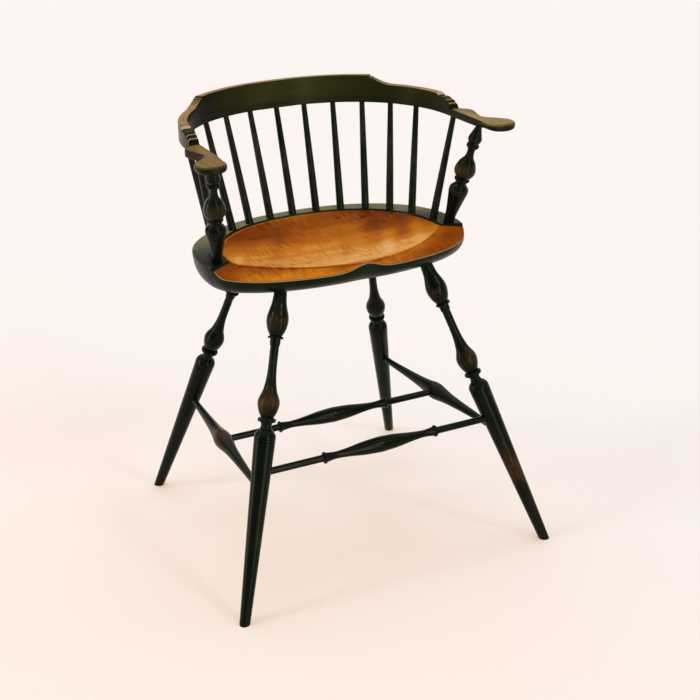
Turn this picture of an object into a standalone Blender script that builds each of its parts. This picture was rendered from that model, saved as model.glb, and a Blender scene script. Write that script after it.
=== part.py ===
"""A tavern armchair at counter height: a low-back chair with a saddled plank seat, four turned legs,
stretchers, two turned arm posts, tapered spindles, two sawn arms lapped behind the sitter, and a crest
on top of the lap. Metres, +Z up. The sitter faces -Y, left is -X as seen from in front of the chair,
and the origin is on the floor under the middle of the four feet. Nothing moves: every joint is glued."""

import math

import bmesh
import bpy
from mathutils import Matrix, Vector

# Clearance left all round a glued joint.
FIT = 0.0003

# Seat plank: height of its deck over the floor, thickness and outline.
SEAT_HEIGHT = 0.610
SEAT_THICKNESS = 0.049
SEAT_HALF_WIDTH = 0.270
SEAT_WIDEST_Y = -0.020
SEAT_BACK_REACH = 0.203
SEAT_FRONT_REACH = 0.154
SEAT_BACK_POWER = 2.2
SEAT_FRONT_POWER = 2.5
UNDERCUT_FRONT = 0.048
UNDERCUT_SIDE = 0.022

# Deck that carries the spindles, with the gutter cut along its inner edge.
DECK_SIDE_WIDTH = 0.048
DECK_BACK_WIDTH = 0.031
DECK_WIDEST_BACK = 0.020
GUTTER_WIDTH = 0.0046
GUTTER_DEPTH = 0.0034
HORN_BACK = 0.010
DECK_END_FORWARD = 0.056

# Dished sitting surface, the ridge in front of it and the pommel.
DISH_DEPTH = 0.020
DISH_FALL = 2.6
RIDGE_DROP = 0.008
RIDGE_FROM_FRONT = 0.019
RIDGE_BOW = 2.2
FRONT_EDGE_DROP = 0.016
FRONT_EDGE_RUN = 0.075
POMMEL_REACH = 0.014
POMMEL_DROP = 0.002
POMMEL_HALF_WIDTH = 0.030
SPINE_HEIGHT = 0.005

# Legs: where the axes leave the seat and reach the floor.
FRONT_TOP_X = 0.152
FRONT_TOP_Y = -0.119
FRONT_FOOT_X = 0.326
FRONT_FOOT_Y = -0.2955
REAR_TOP_X = 0.135
REAR_TOP_Y = 0.092
REAR_FOOT_X = 0.285
REAR_FOOT_Y = 0.2955

# Leg turning, measured down from the seat.
LEG_TENON = 0.030
LEG_TENON_TIP_DIA = 0.0172
LEG_TOP_DIA = 0.0236
LEG_BULB_DIA = 0.0410
LEG_BULB_DROP = 0.0520
LEG_RING_DIA = 0.0290
LEG_BULB_TO_RING = 0.0325
LEG_FILLET_DIA = 0.0198
LEG_FILLET_LENGTH = 0.0130
LEG_NECK_DIA = 0.0162
LEG_RING_TO_VASE = 0.1200
LEG_VASE_DIA = 0.0410
LEG_COLLAR_DIA = 0.0336
LEG_VASE_TO_COLLAR = 0.0320
LEG_COVE_DIA = 0.0190
LEG_COLLAR_TO_COVE = 0.0130
LEG_SHOULDER_DIA = 0.0405
LEG_COVE_TO_SHOULDER = 0.0180
LEG_FOOT_DIA = 0.0200
TURNED_RING_THICKNESS = 0.0036

# Stretchers: how far below the shoulder of a leg they enter it, and their turning.
SIDE_JOINT_DROP = 0.0960
FRONT_JOINT_DROP = 0.0675
STRETCHER_END_DIA = 0.0132
STRETCHER_TENON_PAST_AXIS = 0.003
SIDE_SWELL_DIA = 0.0360
CROSS_SWELL_DIA = 0.0308
CROSS_RING_DIA = 0.0230
CROSS_RING_REACH = 0.1180
CROSS_NECK_DIA = 0.0140
CROSS_FLARE_LENGTH = 0.0240

# Arms, sawn from plank: height above the deck, thickness and plan.
ARM_RISE = 0.206
ARM_THICKNESS = 0.014
ARM_EDGE = 0.0022
RAIL_INSIDE_SEAT = 0.013
RAIL_BEHIND_SEAT = 0.033
RAIL_CORNER_Y = -0.020
RAIL_POWER = 2.2
RAIL_WIDTH = 0.0185
BUMP_FORWARD = 0.028
BUMP_WIDTH = 0.036
BUMP_TO_HOLLOW = 0.056
HOLLOW_WIDTH = 0.0240
HOLLOW_TO_HAND = 0.050
HAND_WIDTH = 0.055
HAND_INSET = 0.003
HAND_END = 0.028
HAND_UNDERCUT = 0.005
HAND_ROUND_POWER = 2.4
LAP_LENGTH = 0.070

# Crest: height over the arms, and its step, shoulder and end lobe along the rail.
CREST_HEIGHT = 0.041
CREST_STEP_AT = 0.190
CREST_STEP = 0.004
CREST_COVE_LENGTH = 0.046
CREST_LOBE_HEIGHT = 0.0235
CREST_LOBE_LENGTH = 0.122
CREST_LOBE_STEP = 0.0055
CREST_END_LENGTH = 0.040
CREST_TOE_HEIGHT = 0.003
CREST_BACK_ROUND = 0.008
CREST_FACE_ROUND = 0.002
CREST_STEP_RUN = 0.0004

# Arm posts: where they stand, and their turning measured up from the deck.
POST_BEHIND_DECK_END = 0.031
POST_FROM_EDGE = 0.026
POST_TOP_FORWARD = 0.096
POST_TENON = 0.028
POST_TENON_TIP_DIA = 0.0150
POST_FOOT_DIA = 0.0200
POST_URN_DIA = 0.0382
POST_URN_RISE = 0.0760
POST_COVE_DIA = 0.0214
POST_URN_TO_COVE = 0.0150
POST_RING_DIA = 0.0300
POST_COVE_TO_RING = 0.0080
POST_VASE_DIA = 0.0416
POST_RING_TO_VASE = 0.0210
POST_NECK_DIA = 0.0138
POST_VASE_TO_NECK = 0.0410
POST_COLLAR_DIA = 0.0240
POST_NECK_TO_COLLAR = 0.0140
POST_BULB_DIA = 0.0256
POST_COLLAR_TO_BULB = 0.0150
POST_TOP_DIA = 0.0126
POST_TOP_TENON = 0.010

# Spindles: room from the front one to the arm post and to the next spindle, and their taper.
SPINDLES_EACH_SIDE = 6
FRONT_SPINDLE_TO_POST_FOOT = 0.0342
FRONT_SPINDLE_TO_POST_TOP = 0.0869
FRONT_SPINDLE_SEAT_GAP = 0.061
FRONT_SPINDLE_RAIL_GAP = 0.1135
SPINDLE_FROM_GUTTER = 0.0086
SPINDLE_FROM_FACE = 0.0066
SPINDLE_SEAT_DIA = 0.0134
SPINDLE_RAIL_DIA = 0.0092
SPINDLE_SEAT_TENON = 0.020
SPINDLE_CREST_TENON = 0.005
SPINDLE_ARM_TENON = 0.010

# Pegs that hold the two ends of the crest down on the arms.
PEG_DIA = 0.0080
PEG_FROM_CREST_END = 0.066
PEG_CREST_TENON = 0.012

# Facets of round work.
LEG_SIDES = 14
POST_SIDES = 12
STRETCHER_SIDES = 12
SPINDLE_SIDES = 8
SOCKET_SIDES = 10
SEAT_COLUMNS = 30

# Heights and plan sizes that follow from the sizes above.
DECK_Z = SEAT_HEIGHT
SEAT_UNDERSIDE = DECK_Z - SEAT_THICKNESS
ARM_UNDER_Z = DECK_Z + ARM_RISE
ARM_TOP_Z = ARM_UNDER_Z + ARM_THICKNESS
SEAT_BACK_Y = SEAT_WIDEST_Y + SEAT_BACK_REACH
RAIL_HALF_WIDTH = SEAT_HALF_WIDTH - RAIL_INSIDE_SEAT
RAIL_BACK_REACH = SEAT_BACK_Y + RAIL_BEHIND_SEAT - RAIL_CORNER_Y
GUTTER_HALF_WIDTH = SEAT_HALF_WIDTH - DECK_SIDE_WIDTH
GUTTER_WIDEST_Y = SEAT_WIDEST_Y - DECK_WIDEST_BACK
GUTTER_BACK_Y = SEAT_BACK_Y - DECK_BACK_WIDTH
HORN_Y = GUTTER_WIDEST_Y - HORN_BACK
DECK_END_Y = SEAT_WIDEST_Y - DECK_END_FORWARD
RIDGE_FRONT_Y = SEAT_WIDEST_Y - SEAT_FRONT_REACH + RIDGE_FROM_FRONT
RIDGE_FORWARD = HORN_Y - RIDGE_FRONT_Y
POST_FOOT_Y = DECK_END_Y + POST_BEHIND_DECK_END
CREST_LOBE_END = CREST_STEP_AT + CREST_COVE_LENGTH + CREST_LOBE_LENGTH
CREST_END = CREST_LOBE_END + CREST_END_LENGTH
HOLLOW_AT = BUMP_FORWARD + BUMP_TO_HOLLOW
HAND_AT = HOLLOW_AT + HOLLOW_TO_HAND
LEG_SHOULDER_AT = (LEG_BULB_DROP + LEG_BULB_TO_RING + LEG_RING_TO_VASE + LEG_VASE_TO_COLLAR
                   + LEG_COLLAR_TO_COVE + LEG_COVE_TO_SHOULDER)

for old in list(bpy.data.objects):
    bpy.data.objects.remove(old, do_unlink=True)

pieces = bpy.data.collections.new("tavern_armchair")
cutters = bpy.data.collections.new("cutters")
for group in (pieces, cutters):
    bpy.context.scene.collection.children.link(group)
chair = bpy.data.objects.new("chair", None)
pieces.objects.link(chair)


def finish(name, colour, roughness):
    """A plain finish: one colour with its gloss."""
    material = bpy.data.materials.new(name)
    material.use_nodes = True
    shader = material.node_tree.nodes["Principled BSDF"]
    shader.inputs["Base Color"].default_value = (*colour, 1.0)
    shader.inputs["Roughness"].default_value = roughness
    return material


def paint(piece):
    """Dark green-black paint over red, made for one piece."""
    return finish(piece + "_paint", (0.022, 0.022, 0.014), 0.35)


def add_piece(name, mesh, material, placed=None):
    """One sub-part, under the chair's own empty."""
    piece = bpy.data.objects.new(name, mesh)
    pieces.objects.link(piece)
    piece.parent = chair
    piece.data.materials.append(material)
    if placed is not None:
        piece.matrix_world = placed
    return piece


def mesh_from(work, name):
    """A mesh made of what is in a bmesh, facing out."""
    bmesh.ops.recalc_face_normals(work, faces=work.faces)
    mesh = bpy.data.meshes.new(name)
    work.to_mesh(mesh)
    work.free()
    return mesh


def smoothstep(value):
    value = min(max(value, 0.0), 1.0)
    return value * value * (3.0 - 2.0 * value)


def eased(keys, at):
    """Value at a distance, easing from each (distance, value) key to the next."""
    for (start, low), (stop, high) in zip(keys, keys[1:]):
        if at <= stop:
            return low + (high - low) * smoothstep((at - start) / (stop - start))
    return keys[-1][1]


def swept(keys, steps):
    """A smooth turned outline through (distance, radius) keys, with steps between two of them."""
    points = [keys[0]]
    for i in range(len(keys) - 1):
        before = keys[max(i - 1, 0)]
        start, stop = keys[i], keys[i + 1]
        after = keys[min(i + 2, len(keys) - 1)]
        run = stop[0] - start[0]
        slope_in = (stop[1] - before[1]) / (stop[0] - before[0])
        slope_out = (after[1] - start[1]) / (after[0] - start[0])
        if (stop[1] - start[1]) * (start[1] - before[1]) <= 0.0 and i > 0:
            slope_in = 0.0
        if (after[1] - stop[1]) * (stop[1] - start[1]) <= 0.0 and i < len(keys) - 2:
            slope_out = 0.0
        for k in range(1, steps + 1):
            t = k / steps
            radius = ((2 * t ** 3 - 3 * t ** 2 + 1) * start[1] + (t ** 3 - 2 * t ** 2 + t) * run * slope_in
                      + (3 * t ** 2 - 2 * t ** 3) * stop[1] + (t ** 3 - t ** 2) * run * slope_out)
            points.append((start[0] + t * run, radius))
    return points


def ring(at, diameter, waist):
    """A thin turned disc: up from the waist, over the rim and down again."""
    half = TURNED_RING_THICKNESS / 2
    rim = diameter / 2
    return [(at - half, waist), (at - half, rim - half / 2), (at, rim), (at + half, rim - half / 2),
            (at + half, waist)]


def axis_matrix(origin, toward):
    """Placement whose local Z runs from one point towards another."""
    turn = (toward - origin).to_track_quat("Z", "Y").to_matrix().to_4x4()
    return Matrix.Translation(origin) @ turn


def turned(name, outline, sides, placed):
    """A turned piece. The outline's (distance, radius) points run along local Z, first to last."""
    mesh = bpy.data.meshes.new(name)
    ordered = list(reversed(outline)) if outline[0][0] < outline[-1][0] else outline
    rim = [(radius, 0.0, distance) for distance, radius in ordered]
    spine = [(0.0, 0.0, rim[0][2])] + rim + [(0.0, 0.0, rim[-1][2])]
    mesh.from_pydata(spine, [(i, i + 1) for i in range(len(spine) - 1)], [])
    piece = add_piece(name, mesh, paint(name), placed)
    lathe = piece.modifiers.new("lathe", "SCREW")
    lathe.axis = "Z"
    lathe.angle = math.tau
    lathe.steps = lathe.render_steps = sides
    lathe.use_merge_vertices = True
    lathe.merge_threshold = 0.00001
    lathe.use_smooth_shade = True
    return piece


def socket(work, start, stop, start_dia, stop_dia):
    """Adds a round hole's cutter, wide enough that its flats clear the tenon by FIT."""
    spread = 1.0 / math.cos(math.pi / SOCKET_SIDES)
    middle = axis_matrix((start + stop) / 2, stop)
    bmesh.ops.create_cone(work, cap_ends=True, segments=SOCKET_SIDES, matrix=middle,
                          radius1=(start_dia / 2 + FIT) * spread, radius2=(stop_dia / 2 + FIT) * spread,
                          depth=(stop - start).length)


def cut(piece, work):
    """Cuts what is in a bmesh out of a piece."""
    cutter = bpy.data.objects.new(piece.name + "_cutter", mesh_from(work, piece.name + "_cutter"))
    cutters.objects.link(cutter)
    cutter.hide_render = True
    cutter.display_type = "WIRE"
    boolean = piece.modifiers.new("sockets", "BOOLEAN")
    boolean.operation = "DIFFERENCE"
    boolean.solver = "EXACT"
    boolean.object = cutter


def mirrored(point, side):
    return Vector((point.x * side, point.y, point.z))


def oval(half_width, reach, widest_y, power, angle):
    """A point on one end of a squared oval; the angle is 0 at its side and a right angle at its end."""
    across = max(math.cos(angle), 0.0) ** (2.0 / power)
    along = max(math.sin(angle), 0.0) ** (2.0 / power)
    return Vector((half_width * across, widest_y + reach * along, 0.0))


class Path:
    """A plan curve from the middle of the back round to one side, walked by length."""

    SAMPLES = 240

    def __init__(self, half_width, reach, widest_y, power, straight):
        quarter = [oval(half_width, reach, widest_y, power, math.pi / 2 * (1 - i / self.SAMPLES))
                   for i in range(self.SAMPLES + 1)]
        self.points = quarter + [Vector((half_width, widest_y - straight, 0.0))]
        self.lengths = [0.0]
        for near, far in zip(self.points, self.points[1:]):
            self.lengths.append(self.lengths[-1] + (far - near).length)
        self.corner = self.lengths[self.SAMPLES]

    def at(self, length, outward=0.0):
        """The point a length along the path, set off outwards. A negative length is on the left."""
        side = -1.0 if length < 0.0 else 1.0
        walked = min(abs(length), self.lengths[-1])
        i = next(k for k in range(1, len(self.lengths)) if self.lengths[k] >= walked - 1e-9)
        span = self.lengths[i] - self.lengths[i - 1]
        point = self.points[i - 1].lerp(self.points[i], (walked - self.lengths[i - 1]) / span)
        low, high = self.points[max(i - 4, 0)], self.points[min(i + 3, len(self.points) - 1)]
        ahead = (high - low).normalized() if walked > 0.0 else Vector((1.0, 0.0, 0.0))
        point = point + Vector((-ahead.y, ahead.x, 0.0)) * outward
        return Vector((point.x * side, point.y, 0.0))


rail = Path(RAIL_HALF_WIDTH, RAIL_BACK_REACH, RAIL_CORNER_Y, RAIL_POWER, HAND_AT + HAND_END)
spindle_line = Path(GUTTER_HALF_WIDTH + SPINDLE_FROM_GUTTER,
                    GUTTER_BACK_Y + SPINDLE_FROM_GUTTER - GUTTER_WIDEST_Y, GUTTER_WIDEST_Y,
                    SEAT_BACK_POWER, SEAT_FRONT_REACH)

# The front spindle stands behind the arm post, and the others share out the rest of both paths evenly.
FRONT_SPINDLE_SEAT_AT = spindle_line.corner + GUTTER_WIDEST_Y - POST_FOOT_Y - FRONT_SPINDLE_TO_POST_FOOT
FRONT_SPINDLE_RAIL_AT = rail.corner + POST_TOP_FORWARD - FRONT_SPINDLE_TO_POST_TOP
SPINDLE_SEAT_PITCH = (FRONT_SPINDLE_SEAT_AT - FRONT_SPINDLE_SEAT_GAP) / (SPINDLES_EACH_SIDE - 1)
SPINDLE_RAIL_PITCH = (FRONT_SPINDLE_RAIL_AT - FRONT_SPINDLE_RAIL_GAP) / (SPINDLES_EACH_SIDE - 1)


def leg_axis(front, side):
    """Where a leg's axis leaves the seat and where it reaches the floor."""
    top = (FRONT_TOP_X, FRONT_TOP_Y) if front else (REAR_TOP_X, REAR_TOP_Y)
    foot = (FRONT_FOOT_X, FRONT_FOOT_Y) if front else (REAR_FOOT_X, REAR_FOOT_Y)
    return (Vector((top[0] * side, top[1], SEAT_UNDERSIDE)), Vector((foot[0] * side, foot[1], 0.0)))


def leg_joint(front, side, drop):
    """The point on a leg's axis that a stretcher enters at, a drop below the leg's shoulder."""
    top, foot = leg_axis(front, side)
    return top + (foot - top).normalized() * (LEG_SHOULDER_AT + drop)


def stretcher_ends(front_stretcher, side):
    """Ends of the tenons of the front stretcher or of one side's stretcher."""
    if front_stretcher:
        start, stop = leg_joint(True, -1, FRONT_JOINT_DROP), leg_joint(True, 1, FRONT_JOINT_DROP)
    else:
        start, stop = leg_joint(True, side, SIDE_JOINT_DROP), leg_joint(False, side, SIDE_JOINT_DROP)
    past = (stop - start).normalized() * STRETCHER_TENON_PAST_AXIS
    return start - past, stop + past


def post_axis(side):
    """Where an arm post stands on the deck and where it meets the arm."""
    top = rail.at(rail.corner + POST_TOP_FORWARD, HOLLOW_WIDTH / 2)
    foot = Vector((SEAT_HALF_WIDTH - POST_FROM_EDGE, POST_FOOT_Y, DECK_Z))
    return mirrored(foot, side), mirrored(Vector((top.x, top.y, ARM_UNDER_Z)), side)


def spindle_axis(index):
    """Where a spindle, counted from the middle of the back, leaves the deck and enters the arm."""
    side = -1 if index < 0 else 1
    count = abs(index)
    front = count == SPINDLES_EACH_SIDE
    seat_at = FRONT_SPINDLE_SEAT_AT if front else count * SPINDLE_SEAT_PITCH
    rail_at = FRONT_SPINDLE_RAIL_AT if front else count * SPINDLE_RAIL_PITCH
    foot = spindle_line.at(seat_at) + Vector((0.0, 0.0, DECK_Z))
    top = rail.at(rail_at, SPINDLE_FROM_FACE) + Vector((0.0, 0.0, ARM_UNDER_Z))
    return mirrored(foot, side), mirrored(top, side)


def spindle_rise(index):
    """How far a spindle rises past the arm's underside: into the crest, or blind in the arm."""
    if abs(index) == SPINDLES_EACH_SIDE:
        return SPINDLE_ARM_TENON
    return ARM_THICKNESS + SPINDLE_CREST_TENON


def past_end(start, stop, rise):
    """The point on a line beyond its stop, higher than it by a rise."""
    step = stop - start
    return stop + step * (rise / step.z)


SPINDLE_NUMBERS = range(-SPINDLES_EACH_SIDE, SPINDLES_EACH_SIDE + 1)


# Legs: a bulb, a long-necked vase and a tapered lower leg, cut level at the floor.
def leg_outline(length):
    """Distances here run down from the seat, so the tenon is above zero distance."""
    top, neck, cove = LEG_TOP_DIA / 2, LEG_NECK_DIA / 2, LEG_COVE_DIA / 2
    bulb, vase, fillet = LEG_BULB_DIA / 2, LEG_VASE_DIA / 2, LEG_FILLET_DIA / 2
    ring_at = LEG_BULB_DROP + LEG_BULB_TO_RING
    vase_at = ring_at + LEG_RING_TO_VASE
    collar_at = vase_at + LEG_VASE_TO_COLLAR
    cove_at = collar_at + LEG_COLLAR_TO_COVE
    half_ring = TURNED_RING_THICKNESS / 2
    bulb_waist = fillet * 1.12
    vase_waist = cove * 1.22
    points = [(-LEG_TENON, LEG_TENON_TIP_DIA / 2)]
    points += swept([(0.0, top), (LEG_BULB_DROP * 0.42, top * 1.18), (LEG_BULB_DROP, bulb),
                     (LEG_BULB_DROP + LEG_BULB_TO_RING * 0.55, bulb * 0.84),
                     (ring_at - half_ring, bulb_waist)], 2)[:-1]
    points += ring(ring_at, LEG_RING_DIA, bulb_waist)[:-1]
    points += [(ring_at + half_ring, fillet), (ring_at + LEG_FILLET_LENGTH, fillet * 0.97)]
    points += swept([(ring_at + LEG_FILLET_LENGTH * 1.25, neck),
                     (ring_at + LEG_RING_TO_VASE * 0.56, neck * 1.06),
                     (vase_at - LEG_VASE_TO_COLLAR * 0.75, vase * 0.62), (vase_at, vase),
                     (vase_at + LEG_VASE_TO_COLLAR * 0.5, vase * 0.85),
                     (collar_at - half_ring * 2, vase_waist)], 2)[:-1]
    collar = LEG_COLLAR_DIA / 2
    points += [(collar_at - half_ring * 2, vase_waist), (collar_at - half_ring * 2, collar * 0.93),
               (collar_at, collar), (collar_at + half_ring * 2, collar * 0.93),
               (collar_at + half_ring * 2, vase_waist), (cove_at, cove)]
    shoulder_at = cove_at + LEG_COVE_TO_SHOULDER
    shoulder = LEG_SHOULDER_DIA / 2
    points += [(cove_at + LEG_COVE_TO_SHOULDER * 0.45, cove * 1.16),
               (cove_at + LEG_COVE_TO_SHOULDER * 0.58, shoulder * 0.74),
               (cove_at + LEG_COVE_TO_SHOULDER * 0.78, shoulder * 0.93), (shoulder_at, shoulder),
               (length, LEG_FOOT_DIA / 2), (length + LEG_FOOT_DIA, LEG_FOOT_DIA / 2)]
    return points


def make_leg(name, front, side):
    top, foot = leg_axis(front, side)
    outline = [(-distance, radius) for distance, radius in leg_outline((foot - top).length)]
    leg = turned(name, outline, LEG_SIDES, axis_matrix(top, top + top - foot))
    work = bmesh.new()
    entry = leg_joint(front, side, SIDE_JOINT_DROP)
    ends = [stretcher_ends(False, side)]
    if front:
        ends.append(stretcher_ends(True, side))
    for start, stop in ends:
        near, far = (start, stop) if (start - entry).length < (stop - entry).length else (stop, start)
        inward = (far - near).normalized()
        socket(work, near - inward * FIT, near + inward * LEG_SHOULDER_DIA * 1.5,
               STRETCHER_END_DIA, STRETCHER_END_DIA)
    floor = Matrix.Translation((foot.x, foot.y, -LEG_SHOULDER_DIA))
    reach = LEG_SHOULDER_DIA * 2
    bmesh.ops.create_cube(work, size=1.0, matrix=floor @ Matrix.Diagonal((reach * 2, reach * 2, reach, 1.0)))
    cut(leg, work)


for leg_side, side_name in ((-1, "left"), (1, "right")):
    make_leg("leg_front_" + side_name, True, leg_side)
    make_leg("leg_rear_" + side_name, False, leg_side)


# Side stretchers: thick in the middle, where the medial stretcher enters, and tapered both ways.
def side_outline(half):
    end, swell = STRETCHER_END_DIA / 2, SIDE_SWELL_DIA / 2
    taper = [(0.035, 0.975), (0.10, 0.86), (0.21, 0.69), (0.40, 0.54), (0.62, 0.43)]
    side = [(half * share, max(swell * size, end)) for share, size in taper]
    side += [(half * 0.80, end), (half, end)]
    return [(-distance, radius) for distance, radius in reversed(side)] + side


def medial_ends():
    """Ends of the medial stretcher's tenons, on the axes of the side stretchers."""
    return [sum(stretcher_ends(False, side), Vector()) / 2 for side in (-1, 1)]


for leg_side, side_name in ((-1, "left"), (1, "right")):
    rear_end, front_end = reversed(stretcher_ends(False, leg_side))
    middle = (rear_end + front_end) / 2
    stretcher = turned("side_stretcher_" + side_name, side_outline((rear_end - front_end).length / 2),
                       STRETCHER_SIDES, axis_matrix(middle, rear_end))
    near, far = medial_ends() if leg_side < 0 else reversed(medial_ends())
    inward = (far - near).normalized()
    mortise = bmesh.new()
    socket(mortise, near - inward * FIT, near + inward * SIDE_SWELL_DIA, STRETCHER_END_DIA, STRETCHER_END_DIA)
    cut(stretcher, mortise)


# Medial and front stretchers: plain rods outside two rings, a long swelling between them.
def cross_outline(half):
    end, neck, swell = STRETCHER_END_DIA / 2, CROSS_NECK_DIA / 2, CROSS_SWELL_DIA / 2
    half_ring = TURNED_RING_THICKNESS / 2
    neck_at = CROSS_RING_REACH - CROSS_FLARE_LENGTH
    side = swept([(0.0, swell), (neck_at * 0.36, swell * 0.86), (neck_at * 0.72, swell * 0.58),
                  (neck_at, neck), (CROSS_RING_REACH - half_ring, neck * 1.34)], 2)[1:-1]
    side += ring(CROSS_RING_REACH, CROSS_RING_DIA, neck * 1.34)[:-1]
    side += [(CROSS_RING_REACH + half_ring, end), (half, end)]
    return [(-distance, radius) for distance, radius in reversed(side)] + [(0.0, swell)] + side


for name, (left_end, right_end) in (("medial_stretcher", medial_ends()),
                                    ("front_stretcher", stretcher_ends(True, 0))):
    middle = (left_end + right_end) / 2
    turned(name, cross_outline((right_end - left_end).length / 2), STRETCHER_SIDES,
           axis_matrix(middle, right_end))


# Arm posts: an urn on a tapered foot, a ring, a vase with a thin neck, a collar and a small bulb.
def post_outline(length, tenon):
    urn, cove, vase, neck = POST_URN_DIA / 2, POST_COVE_DIA / 2, POST_VASE_DIA / 2, POST_NECK_DIA / 2
    collar, bulb, top, foot = POST_COLLAR_DIA / 2, POST_BULB_DIA / 2, POST_TOP_DIA / 2, POST_FOOT_DIA / 2
    cove_at = POST_URN_RISE + POST_URN_TO_COVE
    ring_at = cove_at + POST_COVE_TO_RING
    vase_at = ring_at + POST_RING_TO_VASE
    neck_at = vase_at + POST_VASE_TO_NECK
    collar_at = neck_at + POST_NECK_TO_COLLAR
    bulb_at = collar_at + POST_COLLAR_TO_BULB
    half_ring = TURNED_RING_THICKNESS / 2
    points = [(-POST_TENON, POST_TENON_TIP_DIA / 2), (0.0, foot), (POST_URN_RISE * 0.30, foot * 1.12),
              (POST_URN_RISE * 0.86, urn * 0.94), (POST_URN_RISE * 0.93, urn),
              (POST_URN_RISE + POST_URN_TO_COVE * 0.30, urn * 0.96),
              (POST_URN_RISE + POST_URN_TO_COVE * 0.60, urn * 0.76), (cove_at, cove)]
    rim = POST_RING_DIA / 2
    points += [(ring_at - half_ring, cove * 1.12), (ring_at - half_ring, rim - half_ring / 2),
               (ring_at + half_ring * 1.5, rim), (ring_at + half_ring * 3, rim * 0.93)]
    points += swept([(ring_at + half_ring * 4, vase * 0.70),
                     (vase_at - POST_RING_TO_VASE * 0.36, vase * 0.91),
                     (vase_at, vase), (vase_at + POST_VASE_TO_NECK * 0.42, vase * 0.78),
                     (vase_at + POST_VASE_TO_NECK * 0.70, vase * 0.44), (neck_at, neck)], 2)
    points += [(collar_at - half_ring * 2, neck * 1.25), (collar_at - half_ring, collar - half_ring / 2),
               (collar_at + half_ring, collar), (collar_at + half_ring * 2, collar * 0.90)]
    entry = length - POST_TOP_DIA * 0.45
    points += swept([(bulb_at, bulb), (bulb_at + (entry - bulb_at) * 0.45, bulb * 0.78), (entry, top)], 2)
    points += [(length + tenon, top)]
    return points


for post_side, side_name in ((-1, "left"), (1, "right")):
    foot, top = post_axis(post_side)
    tenon = (past_end(foot, top, POST_TOP_TENON) - top).length
    outline = post_outline((top - foot).length, tenon)
    turned("arm_post_" + side_name, outline, POST_SIDES, axis_matrix(foot, top))


# Spindles: straight tapers from the deck into the arms, with tenons at both ends.
def spindle_ends(index):
    foot, top = spindle_axis(index)
    return past_end(top, foot, -SPINDLE_SEAT_TENON), past_end(foot, top, spindle_rise(index))


for index in SPINDLE_NUMBERS:
    foot, top = spindle_axis(index)
    low, high = spindle_ends(index)
    length = (top - foot).length
    outline = [(-(foot - low).length, SPINDLE_SEAT_DIA / 2), (0.0, SPINDLE_SEAT_DIA / 2),
               (length * 0.5, SPINDLE_SEAT_DIA * 0.3 + SPINDLE_RAIL_DIA * 0.2),
               (length, SPINDLE_RAIL_DIA / 2), ((high - foot).length, SPINDLE_RAIL_DIA / 2)]
    turned("spindle_%02d" % (index + SPINDLES_EACH_SIDE + 1), outline, SPINDLE_SIDES, axis_matrix(foot, top))


# Seat: half of the plank, from the middle of the back round to the middle of the front, and its mirror.
def front_edge_z(x):
    """Height of the front edge: full at the deck's ends, low under the thighs, up at the pommel."""
    end_x = oval(SEAT_HALF_WIDTH, SEAT_FRONT_REACH, 0.0, SEAT_FRONT_POWER, DECK_END_ANGLE).x
    fallen = smoothstep((end_x - x) / FRONT_EDGE_RUN)
    pommel = math.exp(-(x / POMMEL_HALF_WIDTH) ** 2)
    return DECK_Z - FRONT_EDGE_DROP * fallen + (FRONT_EDGE_DROP - POMMEL_DROP) * pommel * fallen


def ridge_point(share):
    """The ridge before the dish, from the deck's horn (share 0) to the pommel (share 1)."""
    x = GUTTER_HALF_WIDTH * (1.0 - share)
    pommel = math.exp(-(x / POMMEL_HALF_WIDTH) ** 2)
    y = HORN_Y - RIDGE_FORWARD * (1.0 - (1.0 - share) ** RIDGE_BOW) - POMMEL_REACH * pommel
    z = DECK_Z - RIDGE_DROP * smoothstep(share * 3.0) + (RIDGE_DROP - POMMEL_DROP) * pommel
    return Vector((x, y, z))


def seat_columns():
    """For each column: its dish rim, its outline point, and whether the deck lies between them."""
    turns = int(SEAT_COLUMNS * 0.5)
    columns = []
    for i in range(turns + 1):
        angle = math.pi / 2 * (1.0 - i / turns)
        rim = oval(GUTTER_HALF_WIDTH, GUTTER_BACK_Y - GUTTER_WIDEST_Y, GUTTER_WIDEST_Y,
                   SEAT_BACK_POWER, angle)
        edge = oval(SEAT_HALF_WIDTH, SEAT_BACK_REACH, SEAT_WIDEST_Y, SEAT_BACK_POWER, angle)
        columns.append((rim + Vector((0.0, 0.0, DECK_Z)), edge, True))
    for share in (0.5, 1.0):
        rim = Vector((GUTTER_HALF_WIDTH, GUTTER_WIDEST_Y - HORN_BACK * share, DECK_Z))
        edge = oval(SEAT_HALF_WIDTH, -SEAT_FRONT_REACH, SEAT_WIDEST_Y, SEAT_FRONT_POWER,
                    DECK_END_ANGLE * share)
        columns.append((rim, edge, True))
    steps = SEAT_COLUMNS - turns
    for i in range(1, steps + 1):
        share = (i / steps) ** 1.25
        angle = DECK_END_ANGLE + (math.pi / 2 - DECK_END_ANGLE) * share
        edge = oval(SEAT_HALF_WIDTH, -SEAT_FRONT_REACH, SEAT_WIDEST_Y, SEAT_FRONT_POWER, angle)
        end_x = oval(SEAT_HALF_WIDTH, SEAT_FRONT_REACH, 0.0, SEAT_FRONT_POWER, DECK_END_ANGLE).x
        columns.append((ridge_point(1.0 - edge.x / end_x), edge, False))
    return columns


DECK_END_ANGLE = math.asin((DECK_END_FORWARD / SEAT_FRONT_REACH) ** (SEAT_FRONT_POWER / 2.0))
HUB_Y = (GUTTER_BACK_Y + RIDGE_FRONT_Y) / 2


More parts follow.
